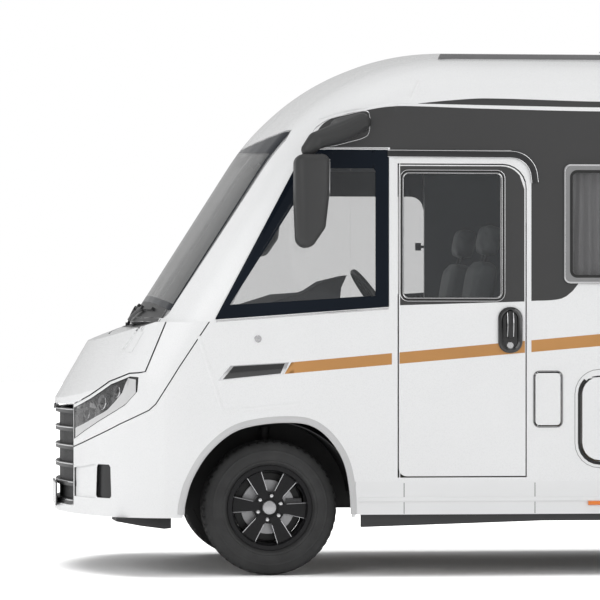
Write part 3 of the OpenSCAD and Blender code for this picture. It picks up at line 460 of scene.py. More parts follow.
def line(*points):
    """Straight stretches through [u, z] points, as z by u."""
    def height(u):
        for (u0, z0), (u1, z1) in zip(points, points[1:]):
            if u <= u1 or (u1, z1) == points[-1]:
                return z0 + (z1 - z0) * (u - u0) / (u1 - u0)
    return height


def curve(*points):
    """Smooth line through [u, z] points, as z by u."""
    slopes = []
    for k in range(len(points)):
        a, b = points[max(k - 1, 0)], points[min(k + 1, len(points) - 1)]
        slopes.append((b[1] - a[1]) / (b[0] - a[0]))

    def height(u):
        k = 0
        while k < len(points) - 2 and u > points[k + 1][0]:
            k += 1
        (u0, z0), (u1, z1) = points[k], points[k + 1]
        t = (u - u0) / (u1 - u0)
        h = u1 - u0
        return ((2 * t ** 3 - 3 * t ** 2 + 1) * z0 + (t ** 3 - 2 * t ** 2 + t) * h * slopes[k]
                + (3 * t ** 2 - 2 * t ** 3) * z1 + (t ** 3 - t ** 2) * h * slopes[k + 1])
    return height


def level(z):
    return lambda u: z


def quarter(u0, z0, radius):
    """Rear upper quarter of a circle, level ahead of its centre, as z by u."""
    return lambda u: z0 + math.sqrt(max(0.0, radius ** 2 - max(0.0, u - u0) ** 2))


# Films: thin sheets on the bodywork, each patch [from u, to u, lower edge, upper edge]
FILM_STEP = 26.0
FILM_LIFT, FILM_SINK = 0.0007, 0.0006


def skin_patch(shape, columns, lift=level(FILM_LIFT), sink=FILM_SINK):
    """Thin sheet over columns of [point, normal], save those with a miss. Lift goes by place in a column."""
    loops = []
    for column in columns:
        if all(point is not None for point, _ in column):
            last = len(column) - 1
            front = [point + normal * lift(j / last) for j, (point, normal) in enumerate(column)]
            loops.append(front + [point - normal * sink for point, normal in column[::-1]])
    if len(loops) > 1:
        shape.solid(loops)


def film(name, patches, skin, mat, slot="dark_trim", body="body", s=1, rows=4, step=FILM_STEP):
    shape = Shape()
    for u0, u1, low, high in patches:
        columns = []
        for u in spaced(u0, u1, max(1, round((u1 - u0) / step))):
            columns.append([skin.side(u, z, s) for z in spaced(low(u), high(u), rows)])
        skin_patch(shape, columns)
    shape.piece(name, mat, slot, body)


# Strips run along a path of [u, z] points on a side, section points are [across the path, out of the wall]
def strip(shape, path, section, skin, s, closed=False):
    loops = []
    count = len(path)
    for k, (u, z) in enumerate(path):
        before = path[k - 1] if closed or k > 0 else path[0]
        after = path[(k + 1) % count] if closed or k < count - 1 else path[-1]
        du, dz = after[0] - before[0], after[1] - before[1]
        size = math.hypot(du, dz)
        across = Vector((dz / size, 0, du / size)) * MM
        base, _ = skin.side(u, z, s)
        loops.append([base + across * a + Vector((0, s * out * MM, 0)) for a, out in section])
    if closed:
        loops.append(loops[0])
    shape.rows(loops, loop=True, ends=not closed)


def strips(name, paths, section, skin, s, mat, slot, body="body", closed=False):
    """One piece of strips along some paths."""
    shape = Shape()
    for path in paths:
        strip(shape, path, section, skin, s, closed)
    shape.piece(name, mat, slot, body)


def round_path(u0, z0, u1, z1, r, steps=6):
    """Closed round-cornered outline."""
    corners = [(u1 - r, z1 - r, 0), (u0 + r, z1 - r, 90), (u0 + r, z0 + r, 180), (u1 - r, z0 + r, 270)]
    path = []
    for u, z, first in corners:
        for angle in spaced(math.radians(first), math.radians(first + 90), steps):
            path.append((u + r * math.cos(angle), z + r * math.sin(angle)))
    return path


def bead(width, proud, sink=2.0):
    """Rounded strip section."""
    half_w = width / 2
    return [(-half_w, -sink), (-half_w, proud * 0.4), (-half_w * 0.55, proud * 0.9), (0, proud),
            (half_w * 0.55, proud * 0.9), (half_w, proud * 0.4), (half_w, -sink)]


def panel_edges(node):
    """From u, to u, from z, to z."""
    low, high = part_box(node)
    return (FRONT_AXLE - high[0]) / MM, (FRONT_AXLE - low[0]) / MM, low[2] / MM, high[2] / MM


def node_outline(node, grow, radius):
    """Round-cornered outline in [u, z] around a flat panel's node."""
    u0, u1, z0, z1 = panel_edges(node)
    return round_path(u0 - grow, z0 - grow, u1 + grow, z1 + grow, radius + grow)


# Bodywork films
SIDE_LEFT = Surface("cab_top", "wall_left", "wing_left", "front_mask", "roof_panel")
SIDE_RIGHT = Surface("cab_top", "wall_right", "wing_right", "front_mask", "roof_panel")
DOOR_SKIN = Surface("driver_door")
ENTRY_SKIN = Surface("entry_door")
SKINS = {1: SIDE_LEFT, -1: SIDE_RIGHT}
CAB_END = panel_edges("cab_top")[1]
LONG_PANE_END = panel_edges("cab_glazing")[1]
TAIL_U = REAR_U - 60
DOOR_U0, DOOR_U1, _, DOOR_Z1 = panel_edges("driver_door")
PANE_U0, PANE_U1, PANE_Z0, PANE_Z1 = panel_edges("driver_door_glass")
ENTRY_U0, ENTRY_U1, _, ENTRY_Z1 = panel_edges("entry_door")
LOCKER_U0, _, LOCKER_Z0, _ = panel_edges("locker_flap")
# Habitation window behind the driver's door
WINDOW_U0, WINDOW_U1, WINDOW_Z0, WINDOW_Z1 = 1528.0, 2440.0, 1530.0, 2154.0
FRAME_LAP = 14

# Grey band along the windows: upper edge, and lower edges on the door and behind it
BAND_FRONT, BAND_FOOT, PILLAR_END, SILL_END = 209, 2238, 1356, 1606
band_top = curve((BAND_FRONT, BAND_FOOT), (223, 2300), (279, 2371), (382, 2411), (497, 2433), (591, 2449),
                 (699, 2454), (1082, 2443), (1719, 2431), (3400, 2426), (TAIL_U, 2420))
band_low = curve((PILLAR_END, 2175), (2500, 2175), (3700, 2226), (4800, 2330), (TAIL_U, 2417))
door_band_low = line((DOOR_U0, 1416), (DOOR_U1, 1436))
under_window = curve((PILLAR_END, 1439), (1502, 1448), (1560, 1477), (SILL_END, 1531))
GUTTER_FRONT, GUTTER_TOP = 612, 2226
GUTTER_BEND_U, GUTTER_BEND_Z, GUTTER_BEND = 1250, 2083, 120
DOOR_EDGE, DOOR_BEND = 6, 120
DOOR_HIGH = DOOR_Z1 - DOOR_EDGE
door_corner = quarter(DOOR_U1 - DOOR_EDGE - DOOR_BEND, DOOR_HIGH - DOOR_BEND, DOOR_BEND)
ENTRY_GAP = 8

film("band_cab", [
    (BAND_FRONT, GUTTER_FRONT, level(BAND_FOOT), band_top),
    (GUTTER_FRONT, CAB_END, level(GUTTER_TOP), band_top),
], SIDE_LEFT, DECOR, rows=24, step=10)
film("band_cab_right", [
    (BAND_FRONT, CAB_END, level(BAND_FOOT), band_top),
], SIDE_RIGHT, DECOR, s=-1, rows=24, step=10)
film("band_wall_left", [
    (CAB_END, PILLAR_END, level(GUTTER_TOP), band_top),
    (GUTTER_BEND_U, PILLAR_END, quarter(GUTTER_BEND_U, GUTTER_BEND_Z, GUTTER_BEND), level(GUTTER_TOP)),
    (PILLAR_END, WINDOW_U0 + FRAME_LAP, under_window, band_top),
    (WINDOW_U0 + FRAME_LAP, SILL_END, under_window, level(WINDOW_Z0 + FRAME_LAP)),
    (WINDOW_U0 + FRAME_LAP, WINDOW_U1, level(WINDOW_Z1 - FRAME_LAP), band_top),
    (WINDOW_U1, TAIL_U, band_low, band_top),
], SIDE_LEFT, DECOR, rows=6)
film("band_wall_right", [
    (CAB_END, LONG_PANE_END, level(BAND_FOOT), band_top),
    (LONG_PANE_END, ENTRY_U0 - ENTRY_GAP, level(1446), band_top),
    (ENTRY_U0 - ENTRY_GAP, ENTRY_U1 + ENTRY_GAP, level(ENTRY_Z1 + 10), band_top),
    (ENTRY_U1 + ENTRY_GAP, TAIL_U, band_low, band_top),
], SIDE_RIGHT, DECOR, s=-1, rows=6)
film("band_door", [
    (DOOR_U0 + DOOR_EDGE, PANE_U0, door_band_low, level(DOOR_HIGH)),
    (PANE_U0, PANE_U1, door_band_low, level(PANE_Z0)),
    (PANE_U0, PANE_U1, level(PANE_Z1), level(DOOR_HIGH)),
    (PANE_U1, DOOR_U1 - DOOR_EDGE, door_band_low, door_corner),
], DOOR_SKIN, DECOR, body="driver_door", rows=2)

# Dark sweep above the band, with a light line left between them
SWEEP_FRONT = 762
sweep_low = curve((SWEEP_FRONT, 2467), (1257, 2458), (1719, 2452), (3400, 2446), (TAIL_U, 2440))
sweep_top = curve((SWEEP_FRONT, 2468), (932, 2485), (1117, 2496), (1719, 2482), (3400, 2470), (TAIL_U, 2446))
sweep = (SWEEP_FRONT, TAIL_U, sweep_low, sweep_top)
for s, side in SIDE_NAME.items():
    film("upper_sweep_" + side, [sweep], SKINS[s], DECOR, s=s, rows=3)

# Copper stripe, rising to the rear, broken at the pillars
STRIPE_FRONT, STRIPE_BREAK, STRIPE_REAR, STRIPE_SLANT = 61, 622, 4250, 35
stripe_low = line((STRIPE_FRONT, 1059), (1719, 1203), (STRIPE_REAR, 1488))
stripe_top = line((STRIPE_FRONT, 1116), (1719, 1266), (STRIPE_REAR, 1494))
STRIPE_FULL = STRIPE_FRONT + STRIPE_SLANT


def stripe_nose(u):
    return stripe_low(u) + (stripe_top(u) - stripe_low(u)) * (u - STRIPE_FRONT) / STRIPE_SLANT


film("stripe_left", [
    (STRIPE_FRONT, STRIPE_FULL, stripe_low, stripe_nose),
    (STRIPE_FULL, STRIPE_BREAK, stripe_low, stripe_top),
    (PILLAR_END, STRIPE_REAR, stripe_low, stripe_top),
], SIDE_LEFT, COPPER, rows=2)
film("stripe_door", [
    (DOOR_U0 + 3, DOOR_U1 - 3, stripe_low, stripe_top),
], DOOR_SKIN, COPPER, body="driver_door", rows=2)
film("stripe_right", [
    (STRIPE_FULL, ENTRY_U0 - ENTRY_GAP, stripe_low, stripe_top),
    (ENTRY_U1 + ENTRY_GAP, STRIPE_REAR, stripe_low, stripe_top),
], SIDE_RIGHT, COPPER, s=-1, rows=2)
film("stripe_entry", [
    (ENTRY_U0 + 2, ENTRY_U1 - 2, stripe_low, stripe_top),
], ENTRY_SKIN, COPPER, body="entry_door", s=-1, rows=2)

# Dark borders printed on the cab glass
GLASS_SKIN = Surface("cab_glazing")
# Side windows: [name, side, end of pane, end of clear glass, its top, radius of its rear upper corner]
SIDE_PANES = [("left", 1, 605, 536, 2129, 12), ("right", -1, LONG_PANE_END - 3, 1081, 2055, 80)]
PANE_FRONT, PANE_LOW, PANE_LOW_RISE, PANE_FOOT, PANE_HIGH = -296, 1343, 0.0733, 1346, 2225
CLEAR_FRONT, CLEAR_LOW, CLEAR_LOW_RISE, CLEAR_BEND = -223, 1417, 0.0626, 240


def pane_low(u):
    return PANE_LOW + PANE_LOW_RISE * (u - PANE_FRONT)


def pane_border(name, s, end, clear_end, clear_high, radius):
    pane_top = line((PANE_FRONT - 4, PANE_FOOT), (164, 2222), (170, PANE_HIGH), (end, PANE_HIGH))
    clear_rear = CLEAR_LOW + CLEAR_LOW_RISE * (clear_end - CLEAR_FRONT)
    clear_low = line((CLEAR_FRONT, CLEAR_LOW), (clear_end, clear_rear))
    slope = line((CLEAR_FRONT, 1420), (226, 2125))
    corner_u = clear_end - radius

    def clear_top(u):
        return min(slope(u), clear_high)

    film("pane_border_" + name, [
        (PANE_FRONT - 2, CLEAR_FRONT, pane_low, pane_top),
        (CLEAR_FRONT, clear_end, pane_low, clear_low),
        (CLEAR_FRONT, CLEAR_BEND, clear_top, pane_top),
        (CLEAR_BEND, corner_u, clear_top, pane_top),
        (corner_u, clear_end, quarter(corner_u, clear_high - radius, radius), pane_top),
        (clear_end, end, pane_low, pane_top),
    ], GLASS_SKIN, FRIT, "glass", s=s, rows=3, step=12)


for pane in SIDE_PANES:
    pane_border(*pane)

SCREEN_STEP = 40


def screen_strip(shape, y0, y1, low, high, rows, skin=GLASS_SKIN):
    """Patch on the windscreen from y0 to y1 between two runs up the glass, given by y."""
    columns = []
    for y in spaced(y0, y1, max(2, round(abs(y1 - y0) / SCREEN_STEP))):
        columns.append([skin.screen(y, run) for run in spaced(low(y), high(y), rows)])
    skin_patch(shape, columns)


# Runs up the windscreen: the middle of its top edge, the rise of that edge and of the border's to the corners
SCREEN_EDGE, SCREEN_CLEAR, SCREEN_HALF = 985.0, 968.0, 960
SCREEN_MIDDLE, SCREEN_RISE, BORDER_MIDDLE, BORDER_RISE = 1076, 138, 14, 132


def screen_top(y):
    return SCREEN_MIDDLE + SCREEN_RISE * (y / SCREEN_HALF) ** 2


def top_border(y):
    return screen_top(y) - BORDER_MIDDLE - BORDER_RISE * (abs(y) / SCREEN_HALF) ** 1.5


screen_border = Shape()
for s in (1, -1):
    screen_strip(screen_border, s * SCREEN_CLEAR, s * SCREEN_EDGE, level(96), screen_top, 40)
screen_strip(screen_border, -SCREEN_CLEAR, SCREEN_CLEAR, top_border, screen_top, 8)
screen_strip(screen_border, -SCREEN_CLEAR, SCREEN_CLEAR, level(92), level(130), 2)
screen_border.piece("screen_border", FRIT, "glass")

# Black cowl strip between the bonnet and the windscreen
COWL_HALF, COWL_LOW, COWL_HIGH = 940, -70, 94
cowl = Shape()
cowl_skin = Surface("cab_top", "front_mask", "cab_glazing")
screen_strip(cowl, -COWL_HALF, COWL_HALF, level(COWL_LOW), level(COWL_HIGH), 50, cowl_skin)
cowl.piece("cowl_strip", SATIN_BLACK, "dark_trim")

# Rain gutter over the driver's door, dark with two bright edges
GUTTER_Z, GUTTER_DROP, GUTTER_EDGE = 2207, 4, 17
gutter_path = [(600 + 40 * k, GUTTER_Z - 0.2 * k) for k in range(17)]
for degrees in range(6, 85, 6):
    turn = math.radians(degrees)
    gutter_path.append((GUTTER_BEND_U + GUTTER_BEND * math.sin(turn),
                        GUTTER_Z - GUTTER_DROP - GUTTER_BEND * (1 - math.cos(turn))))
gutter_path.append((1374, 2058))
strips("rain_gutter", [gutter_path], bead(38, 14), SIDE_LEFT, 1, SATIN_BLACK, "dark_trim")
gutter_edges = Shape()
for shift in (-GUTTER_EDGE, GUTTER_EDGE):
    strip(gutter_edges, gutter_path, [(a + shift, out + 9) for a, out in bead(5, 3, 4)], SIDE_LEFT, 1)
gutter_edges.piece("rain_gutter_edges", CHROME, "steel")

# Bright strips under and over the cab side windows
for name, s, end, *_ in SIDE_PANES:
    trim = Shape()
    strip(trim, [(u, pane_low(u) - 10) for u in spaced(PANE_FRONT, end, 30)], bead(9, 4), SKINS[s], s)
    strip(trim, [(u, 2232) for u in spaced(176, end - 4, 20)], bead(6, 3), SKINS[s], s)
    trim.piece("pane_trim_" + name, CHROME, "steel")

# Frame lines round the door window, and a dark rubber between them
# Columns: name, distances from the glass, width, height, finish, slot
DOOR_FRAME = [
    ("door_window_lines", (5, 20), 5, 3, CHROME, "steel"),
    ("door_window_rubber", (12,), 10, 2.4, RUBBER, "dark_trim"),
]
for name, grows, width, proud, mat, slot in DOOR_FRAME:
    paths = [node_outline("driver_door_glass", grow, 22) for grow in grows]
    strips(name, paths, bead(width, proud), DOOR_SKIN, 1, mat, slot, "driver_door", closed=True)

# Seals round the flaps and doors, open along the hinge, with corners counted from the rear upper one
# Columns: node, side, corner radius, strip width, finish, corner after the hinge
SEALS = [
    ("locker_flap", 1, 90, 16, RUBBER, 1),
    ("service_flap", 1, 20, 5, GREY_FRAME, None),
    ("garage_door_left", 1, 70, 12, RUBBER, 1),
    ("garage_door_right", -1, 70, 12, RUBBER, 1),
    ("entry_door", -1, 70, 10, RUBBER, 2),
]
SEAL_GAP = 8
for node, s, radius, width, mat, corner in SEALS:
    outline = node_outline(node, SEAL_GAP + width / 2, radius)
    if corner is not None:
        arc = len(outline) // 4
        start = corner * arc + arc // 2
        outline = (outline[start:] + outline[:start])[:1 - arc]
    strips(node + "_seal", [outline], bead(width, 4), SKINS[s], s, mat, "dark_trim", closed=corner is None)
outline = node_outline("locker_flap", 40, 90)
strips("locker_frame_line", [outline], bead(3, 1.5), SIDE_LEFT, 1, GREY_FRAME, "dark_trim", closed=True)

# Grip bowl, bar and lock of the driver's door handle, in place of its plain block
GRIP_U0, GRIP_U1, GRIP_Z0, GRIP_Z1 = panel_edges("driver_door_handle")
GRIP_RADIUS, GRIP_RAISE, GRIP_BOW = 60, 28, 14
grip_u, grip_z = (GRIP_U0 + GRIP_U1) / 2, (GRIP_Z0 + GRIP_Z1) / 2 + GRIP_RAISE
# Rings of the bowl: [inset, out of the wall]
BOWL_RINGS = [(0, -2), (0, 9), (5, 15), (13, 17), (22, 12), (27, 4)]
bowl = Shape()
loops = []
for g, out in BOWL_RINGS:
    ring = round_path(GRIP_U0 + g, GRIP_Z0 + g, GRIP_U1 - g, GRIP_Z1 - g, GRIP_RADIUS - g * 0.9, 8)
    loops.append([at(u, WALL + out, z) for u, z in ring])
bowl.solid(loops)
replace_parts(bowl.piece("handle_bowl", GLOSS_BLACK, "dark_trim", "driver_door"), "driver_door_handle")


def grip_path(shift, foot, reach):
    """Bowed bar beside the middle of the grip, reach above and below it."""
    return [at(grip_u + shift, WALL + foot + GRIP_BOW * math.sin(math.pi * t), grip_z + reach * (2 * t - 1))
            for t in spaced(0, 1, 12)]


grip = Shape()
grip.tube(grip_path(0, 8, 66), 0.015, 12)
grip.piece("handle_bar", SATIN_BLACK, "dark_trim", "driver_door")
grip_edge = Shape()
for side in (-1, 1):
    grip_edge.tube(grip_path(side * 15, 12, 62), 0.003, 8)
grip_edge.piece("handle_bar_edges", CHROME, "steel", "driver_door")

# Locks: body, skin, u, z, lift
LOCKS = [
    ("body", SIDE_LEFT, -78, 1241, 0.0),
    ("driver_door", DOOR_SKIN, grip_u, GRIP_Z0 + 40, 0.006),
    ("locker_flap", Surface("locker_flap"), LOCKER_U0 + 400, LOCKER_Z0 + 50, 0.0),
]
LOCK_SECTION = [(0.019, -0.004), (0.019, 0.004), (0.016, 0.007), (0.007, 0.007), (0.006, 0.004)]
for k, (body, skin, u, z, lift) in enumerate(LOCKS):
    lock = Shape()
    place, out = skin.side(u, z, 1)
    lock.turned(place + out * lift, out, LOCK_SECTION, 28)
    lock.piece("lock_%d" % k, CHROME, "steel", body)

# Trim bar ahead of the stripe: bright frame with a dark insert, corners from the lower front one upwards
BADGE = [(-284, 1025), (-220, 1102), (83, 1119), (57, 1059)]
BADGE_COLUMNS, BADGE_ROWS, BADGE_RIM = 20, 6, 0.55


def badge_plate(name, grow, proud, mat):
    corners = [Vector(p) for p in BADGE]
    middle = sum(corners, Vector((0, 0))) / len(corners)
    low_front, high_front, high_rear, low_rear = [middle.lerp(p, grow) for p in corners]

    def swell(t):
        return proud * MM * (BADGE_RIM + (1 - BADGE_RIM) * math.sin(math.pi * t))

    for s, skin in SKINS.items():
        columns = []
        for t in spaced(0, 1, BADGE_COLUMNS):
            low, high = low_front.lerp(low_rear, t), high_front.lerp(high_rear, t)
            columns.append([skin.side(*low.lerp(high, share), s) for share in spaced(0, 1, BADGE_ROWS)])
        plate = Shape()
        skin_patch(plate, columns, swell, MM)
        plate.piece("%s_%s" % (name, SIDE_NAME[s]), mat, "steel")


badge_plate("badge_frame", 1.0, 4.0, CHROME)
badge_plate("badge_insert", 0.88, 6.0, GLOSS_BLACK)

# Lips round the wheel arches, grey as painted shade on a white lip, and lines along the lower skirts
ARCH_LINE = [(-470, 330), (-462, 400), (-425, 520), (-340, 655), (-212, 763), (-60, 806), (127, 814),
             (235, 782), (322, 700), (382, 590), (409, 450), (415, 330)]


def rounded(points, steps=6):
    """Smooth path through points."""
    path = []
    for k in range(len(points) - 1):
        p = [Vector(points[min(max(k + i, 0), len(points) - 1)]) for i in (-1, 0, 1, 2)]
        for j in range(steps):
            t = j / steps
            square, cube = 2 * p[0] - 5 * p[1] + 4 * p[2] - p[3], 3 * p[1] - p[0] - 3 * p[2] + p[3]
            path.append(tuple(0.5 * (2 * p[1] + (p[2] - p[0]) * t + square * t ** 2 + cube * t ** 3)))
    return path + [tuple(points[-1])]


ARCH_SECTION = [(-8, -14), (-10, 4), (-4, 9), (6, 9), (18, 4), (26, -1)]
ARCH_R, RIB_Z, RIB_START, SPLIT_LOW, MARKER_Z = 452, 404, 450, 330, 382
SPLIT_SECTION = [(-1.5, -1), (-1.5, 0.5), (1.5, 0.5), (1.5, -1)]
rear_turns = [math.radians(a) for a in range(176, 3, -6)]
rear_arch = [(REAR_AXLE_U + ARCH_R * math.cos(a), HUB_Z / MM + ARCH_R * math.sin(a)) for a in rear_turns]
RIB_RANGES = [(RIB_START, REAR_AXLE_U - 470), (REAR_AXLE_U + 470, REAR_U - 20)]
ribs = [[(u, RIB_Z) for u in spaced(u0, u1, 30)] for u0, u1 in RIB_RANGES]
splits = [[(u, SPLIT_LOW + 20 * k) for k in range(9)] for u in (686, 1375, 2500)]
marker = [(1655 + 4 * k, MARKER_Z) for k in range(17)]
# Columns: start of the name, paths, section, finish, slot
SKIRT_LINES = [
    # Arch lips in a grey that is painted shade
    ("arch_lips_", [rounded(ARCH_LINE), rear_arch], ARCH_SECTION, ARCH_PAINTED_SHADE, "body_white"),
    ("skirt_ribs_", ribs, bead(26, 7), SKIRT_PAINT, "body_white"),
    ("skirt_splits_", splits, SPLIT_SECTION, RUBBER, "dark_trim"),
    ("side_marker_", [marker], bead(22, 14), AMBER_LENS, "red_lamp"),
]
for s, side in SIDE_NAME.items():
    skin = Surface("wing_" + side, "front_bumper", "side_skirts", "wall_" + side)
    for name, paths, section, mat, slot in SKIRT_LINES:
        strips(name + side, paths, section, skin, s, mat, slot)

# Bright edges on the grille bars, and a plain plate
GRILLE_SKIN = Surface("grille")
BARS, BAR_H, BAR_EDGE, BAR_HALF = 5, 26, 5, 522
grille_low, grille_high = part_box("grille")[0][2] / MM, 868
bar_edges = Shape()
for k in range(BARS + 1):
    z = grille_low + k * (grille_high - grille_low - BAR_H) / BARS + BAR_H - BAR_EDGE
    hits = [GRILLE_SKIN.front(y, z)[0] for y in spaced(-BAR_HALF, BAR_HALF, 36)]
    bar_edges.tube([p for p in hits if p is not None], 0.0035, 6)
bar_edges.piece("grille_bar_edges", CHROME, "steel")
nose_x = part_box("grille")[1][0]
PLATE_W, PLATE_H, PLATE_Z = 0.52, 0.112, 0.404
# Name, border round the plate, depth behind the grille's front, height before it, finish, slot
PLATES = [
    ("front_plate", 0.0, 0.002, 0.006, PAINT, "body_white"),
    ("front_plate_surround", 0.008, 0.003, 0.003, SATIN_BLACK, "dark_trim"),
]
for name, border, depth, proud, mat, slot in PLATES:
    plate = Shape()
    half_w, half_h = PLATE_W / 2 + border, PLATE_H / 2 + border
    plate.box((nose_x - depth, -half_w, PLATE_Z - half_h), (nose_x + proud, half_w, PLATE_Z + half_h))
    plate.piece(name, mat, slot, shaded=False)

# Lamp units inside the headlamps: u and z of each, and radius
LENS_SKIN = Surface("headlamp_lenses")
UNIT_DEPTH = 0.020
LAMP_UNITS = [(-805, 965, 0.030), (-880, 905, 0.035), (-955, 845, 0.030)]
# Ring section: [share of the radius, place along the axis]
RING_SECTION = [(1.12, -0.02), (1.12, 0.014), (1.06, 0.018), (1.0, 0.010)]
PROJECTOR_FOOT, PROJECTOR_DOME = 0.008, 0.012
for s, side in SIDE_NAME.items():
    rings, lenses = Shape(), Shape()
    aim = Vector((1.0, s * 0.55, 0.12)).normalized()
    for u, z, radius in LAMP_UNITS:
        hit, out = LENS_SKIN.side(u, z, s)
        place = hit - out * UNIT_DEPTH
        turns = [math.radians(a) for a in range(0, 86, 12)]
        dome = [(radius * math.cos(a), PROJECTOR_FOOT + PROJECTOR_DOME * math.sin(a)) for a in turns]
        rings.turned(place, aim, [(radius * share, h) for share, h in RING_SECTION], 32)
        lenses.turned(place, aim, dome, 32)
    rings.piece("lamp_rings_" + side, CHROME, "steel")
    lenses.piece("lamp_projectors_" + side, GLOSS_BLACK, "glass")

# Pale bezel along the lower and rear edges of each headlamp
BEZEL_FRONT, BEZEL_BEND, BEZEL_REAR = -1002, -744, -708
lamp_low = line((-1010, 710), (-960, 756), (-885, 816), (-762, 900), (-699, 972))
lamp_dark = line((-1012, 761), (-958, 795), (-900, 835), (-849, 869), (-813, 912), (-775, 962), (-760, 1006),
                 (BEZEL_BEND, 1040))
lamp_rear = line((BEZEL_BEND, 1036), (BEZEL_REAR, 1030))
for s, side in SIDE_NAME.items():
    film("lamp_bezel_" + side, [
        (BEZEL_FRONT, BEZEL_BEND, lamp_low, lamp_dark),
        (BEZEL_BEND, BEZEL_REAR, lamp_low, lamp_rear),
    ], LENS_SKIN, BEZEL, "body_white", s=s, rows=3, step=8)

# Dark mesh behind the grille bars
MESH_STEPS, MESH_HALF, MESH_SET, MESH_THICK, MESH_EDGE = 36, 526, 0.022, 0.006, 4
mesh_low, mesh_high = (grille_low + MESH_EDGE) * MM, (grille_high - MESH_EDGE) * MM
mesh_back = Shape()
loops = []
for y in spaced(-MESH_HALF, MESH_HALF, MESH_STEPS):
    front = GRILLE_SKIN.front(y, grille_low + BAR_H / 2)[0].x - MESH_SET
    back = front - MESH_THICK
    section = ((front, mesh_low), (front, mesh_high), (back, mesh_high), (back, mesh_low))
    loops.append([Vector((x, y * MM, z)) for x, z in section])
mesh_back.solid(loops)
mesh_back.piece("grille_mesh", GRILLE_MESH, "dark_trim")

# Bonnet shoulders drawn over the ends of the cowl
COWL_FRONT = Surface("front_mask", "bonnet")
SHOULDER_Y = [850 + 8 * k for k in range(12)] + [966, 972]
SHOULDER_Z = [1172 + 9 * k for k in range(13)]
SHOULDER_LIFT, SHOULDER_GAP = 0.0022, 0.0006
for s, side in SIDE_NAME.items():
    shoulder = Shape()
    columns = [[COWL_FRONT.front(s * y, z) for z in SHOULDER_Z] for y in SHOULDER_Y]
    skin_patch(shoulder, columns, level(SHOULDER_LIFT), -SHOULDER_GAP)
    shoulder.piece("bonnet_shoulder_" + side, PAINT, "body_white", "bonnet")

# Bright rims and dark inner borders of the habitation windows: side, from u, to u, from z, to z
FRAME_W, FRAME_R, PANE_R = 46, 34, 22
FRAME_SKIN = Surface("window_frames")
WINDOWS = [
    (1, WINDOW_U0, WINDOW_U1, WINDOW_Z0, WINDOW_Z1),
    (1, REAR_AXLE_U + 425, REAR_AXLE_U + 1225, 1704, 2154),
    (-1, REAR_AXLE_U - 1205, REAR_AXLE_U - 445, 1644, 2094),
    (-1, REAR_AXLE_U + 425, REAR_AXLE_U + 1225, 1704, 2154),
]
# Name, inset of the strip's middle, corner radius there, width, height, finish, slot
FRAME_LINES = [
    ("window_rims", 5, FRAME_R - 5, 8, 3, CHROME, "steel"),
    ("window_borders", FRAME_W - 8, PANE_R + 8, 15, 2, RUBBER, "dark_trim"),
]
for name, inset, radius, width, proud, mat, slot in FRAME_LINES:
    lines = Shape()
    for s, u0, u1, z0, z1 in WINDOWS:
        outline = round_path(u0 + inset, z0 + inset, u1 - inset, z1 - inset, radius)
        strip(lines, outline, bead(width, proud), FRAME_SKIN, s, closed=True)
    lines.piece(name, mat, slot)

# Tyres with tread blocks: half section as [radius, from the middle plane], the tread first, in millimetres
TYRE_HALF = [(355, 0), (355, 12), (348, 13), (348, 21), (355, 22), (354.6, 34), (354.6, 45), (347.5, 46),
             (347.5, 55), (354, 56), (353.6, 66), (353, 75), (350.5, 86), (346.5, 96), (338, 104), (326, 110),
             (312, 114), (304, 115.6), (301, 117.2), (296, 117.2), (293, 116), (278, 117.4), (262, 116.5),
             (251, 113.5), (247, 115.5), (238, 113), (232, 106), (226, 98), (222, 91), (212, 89), (203.4, 88)]
TYRE_HOLLOW = [(215, 70), (260, 80), (330, 80)]
TREAD_STEPS, TREAD_R = 200, 345
# Slots across the tread: from y, to y, every so many steps, first step, depth
TREAD_SLOTS = [(55.5, 97, 4, 0, 6), (21.5, 45.5, 4, 2, 5), (0, 12.5, 8, 1, 4)]
WHEELS = [("front_left", FRONT_AXLE, 1), ("front_right", FRONT_AXLE, -1),
          ("rear_left", REAR_AXLE, 1), ("rear_right", REAR_AXLE, -1)]


def tread_depth(radius, y, step):
    if radius > TREAD_R:
        for y0, y1, every, first, depth in TREAD_SLOTS:
            if y0 <= abs(y) <= y1 and step % every == first:
                return depth
    return 0


def wheel_point(x, s, radius, angle, out):
    """Point on a wheel: angle in degrees from ahead to up, out from its middle plane, in millimetres."""
    turn = math.radians(angle)
    return Vector((x + s * radius * MM * math.cos(turn), s * (WHEEL_Y + out * MM),
                   HUB_Z + radius * MM * math.sin(turn)))


section = ([(r, -y) for r, y in TYRE_HALF[:0:-1]] + TYRE_HALF + TYRE_HOLLOW
           + [(r, -y) for r, y in TYRE_HOLLOW[::-1]])
for place, x, s in WHEELS:
    tyre = Shape()
    loops = [[wheel_point(x, s, r - tread_depth(r, y, k), 360 * k / TREAD_STEPS, y) for r, y in section]
             for k in range(TREAD_STEPS)]
    tyre.rows(loops + loops[:1], loop=True)
    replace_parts(tyre.piece("tyre_%s_tread" % place, TYRE_RUBBER, "tyre", "wheel_" + place), "tyre_" + place)

# Rims: steel brake discs, bright spoke edges, bolts and a plain cap
HUB_FACE, SPOKE_FACE = 62, 76
SPOKES, SPOKE_TURN = 6, 5
# Half width of a spoke by radius, and where its bright edges run
spoke_half = line((50, 22.4), (194, 42.2))
EDGE_IN, EDGE_OUT, EDGE_INSET, EDGE_SINK, EDGE_R = 88, 190, 1, 0.6, 0.0026
BOLTS_R, BOLT_TURN = 64, 40
DISC_FACE, DISC_OUTER = -20, 145
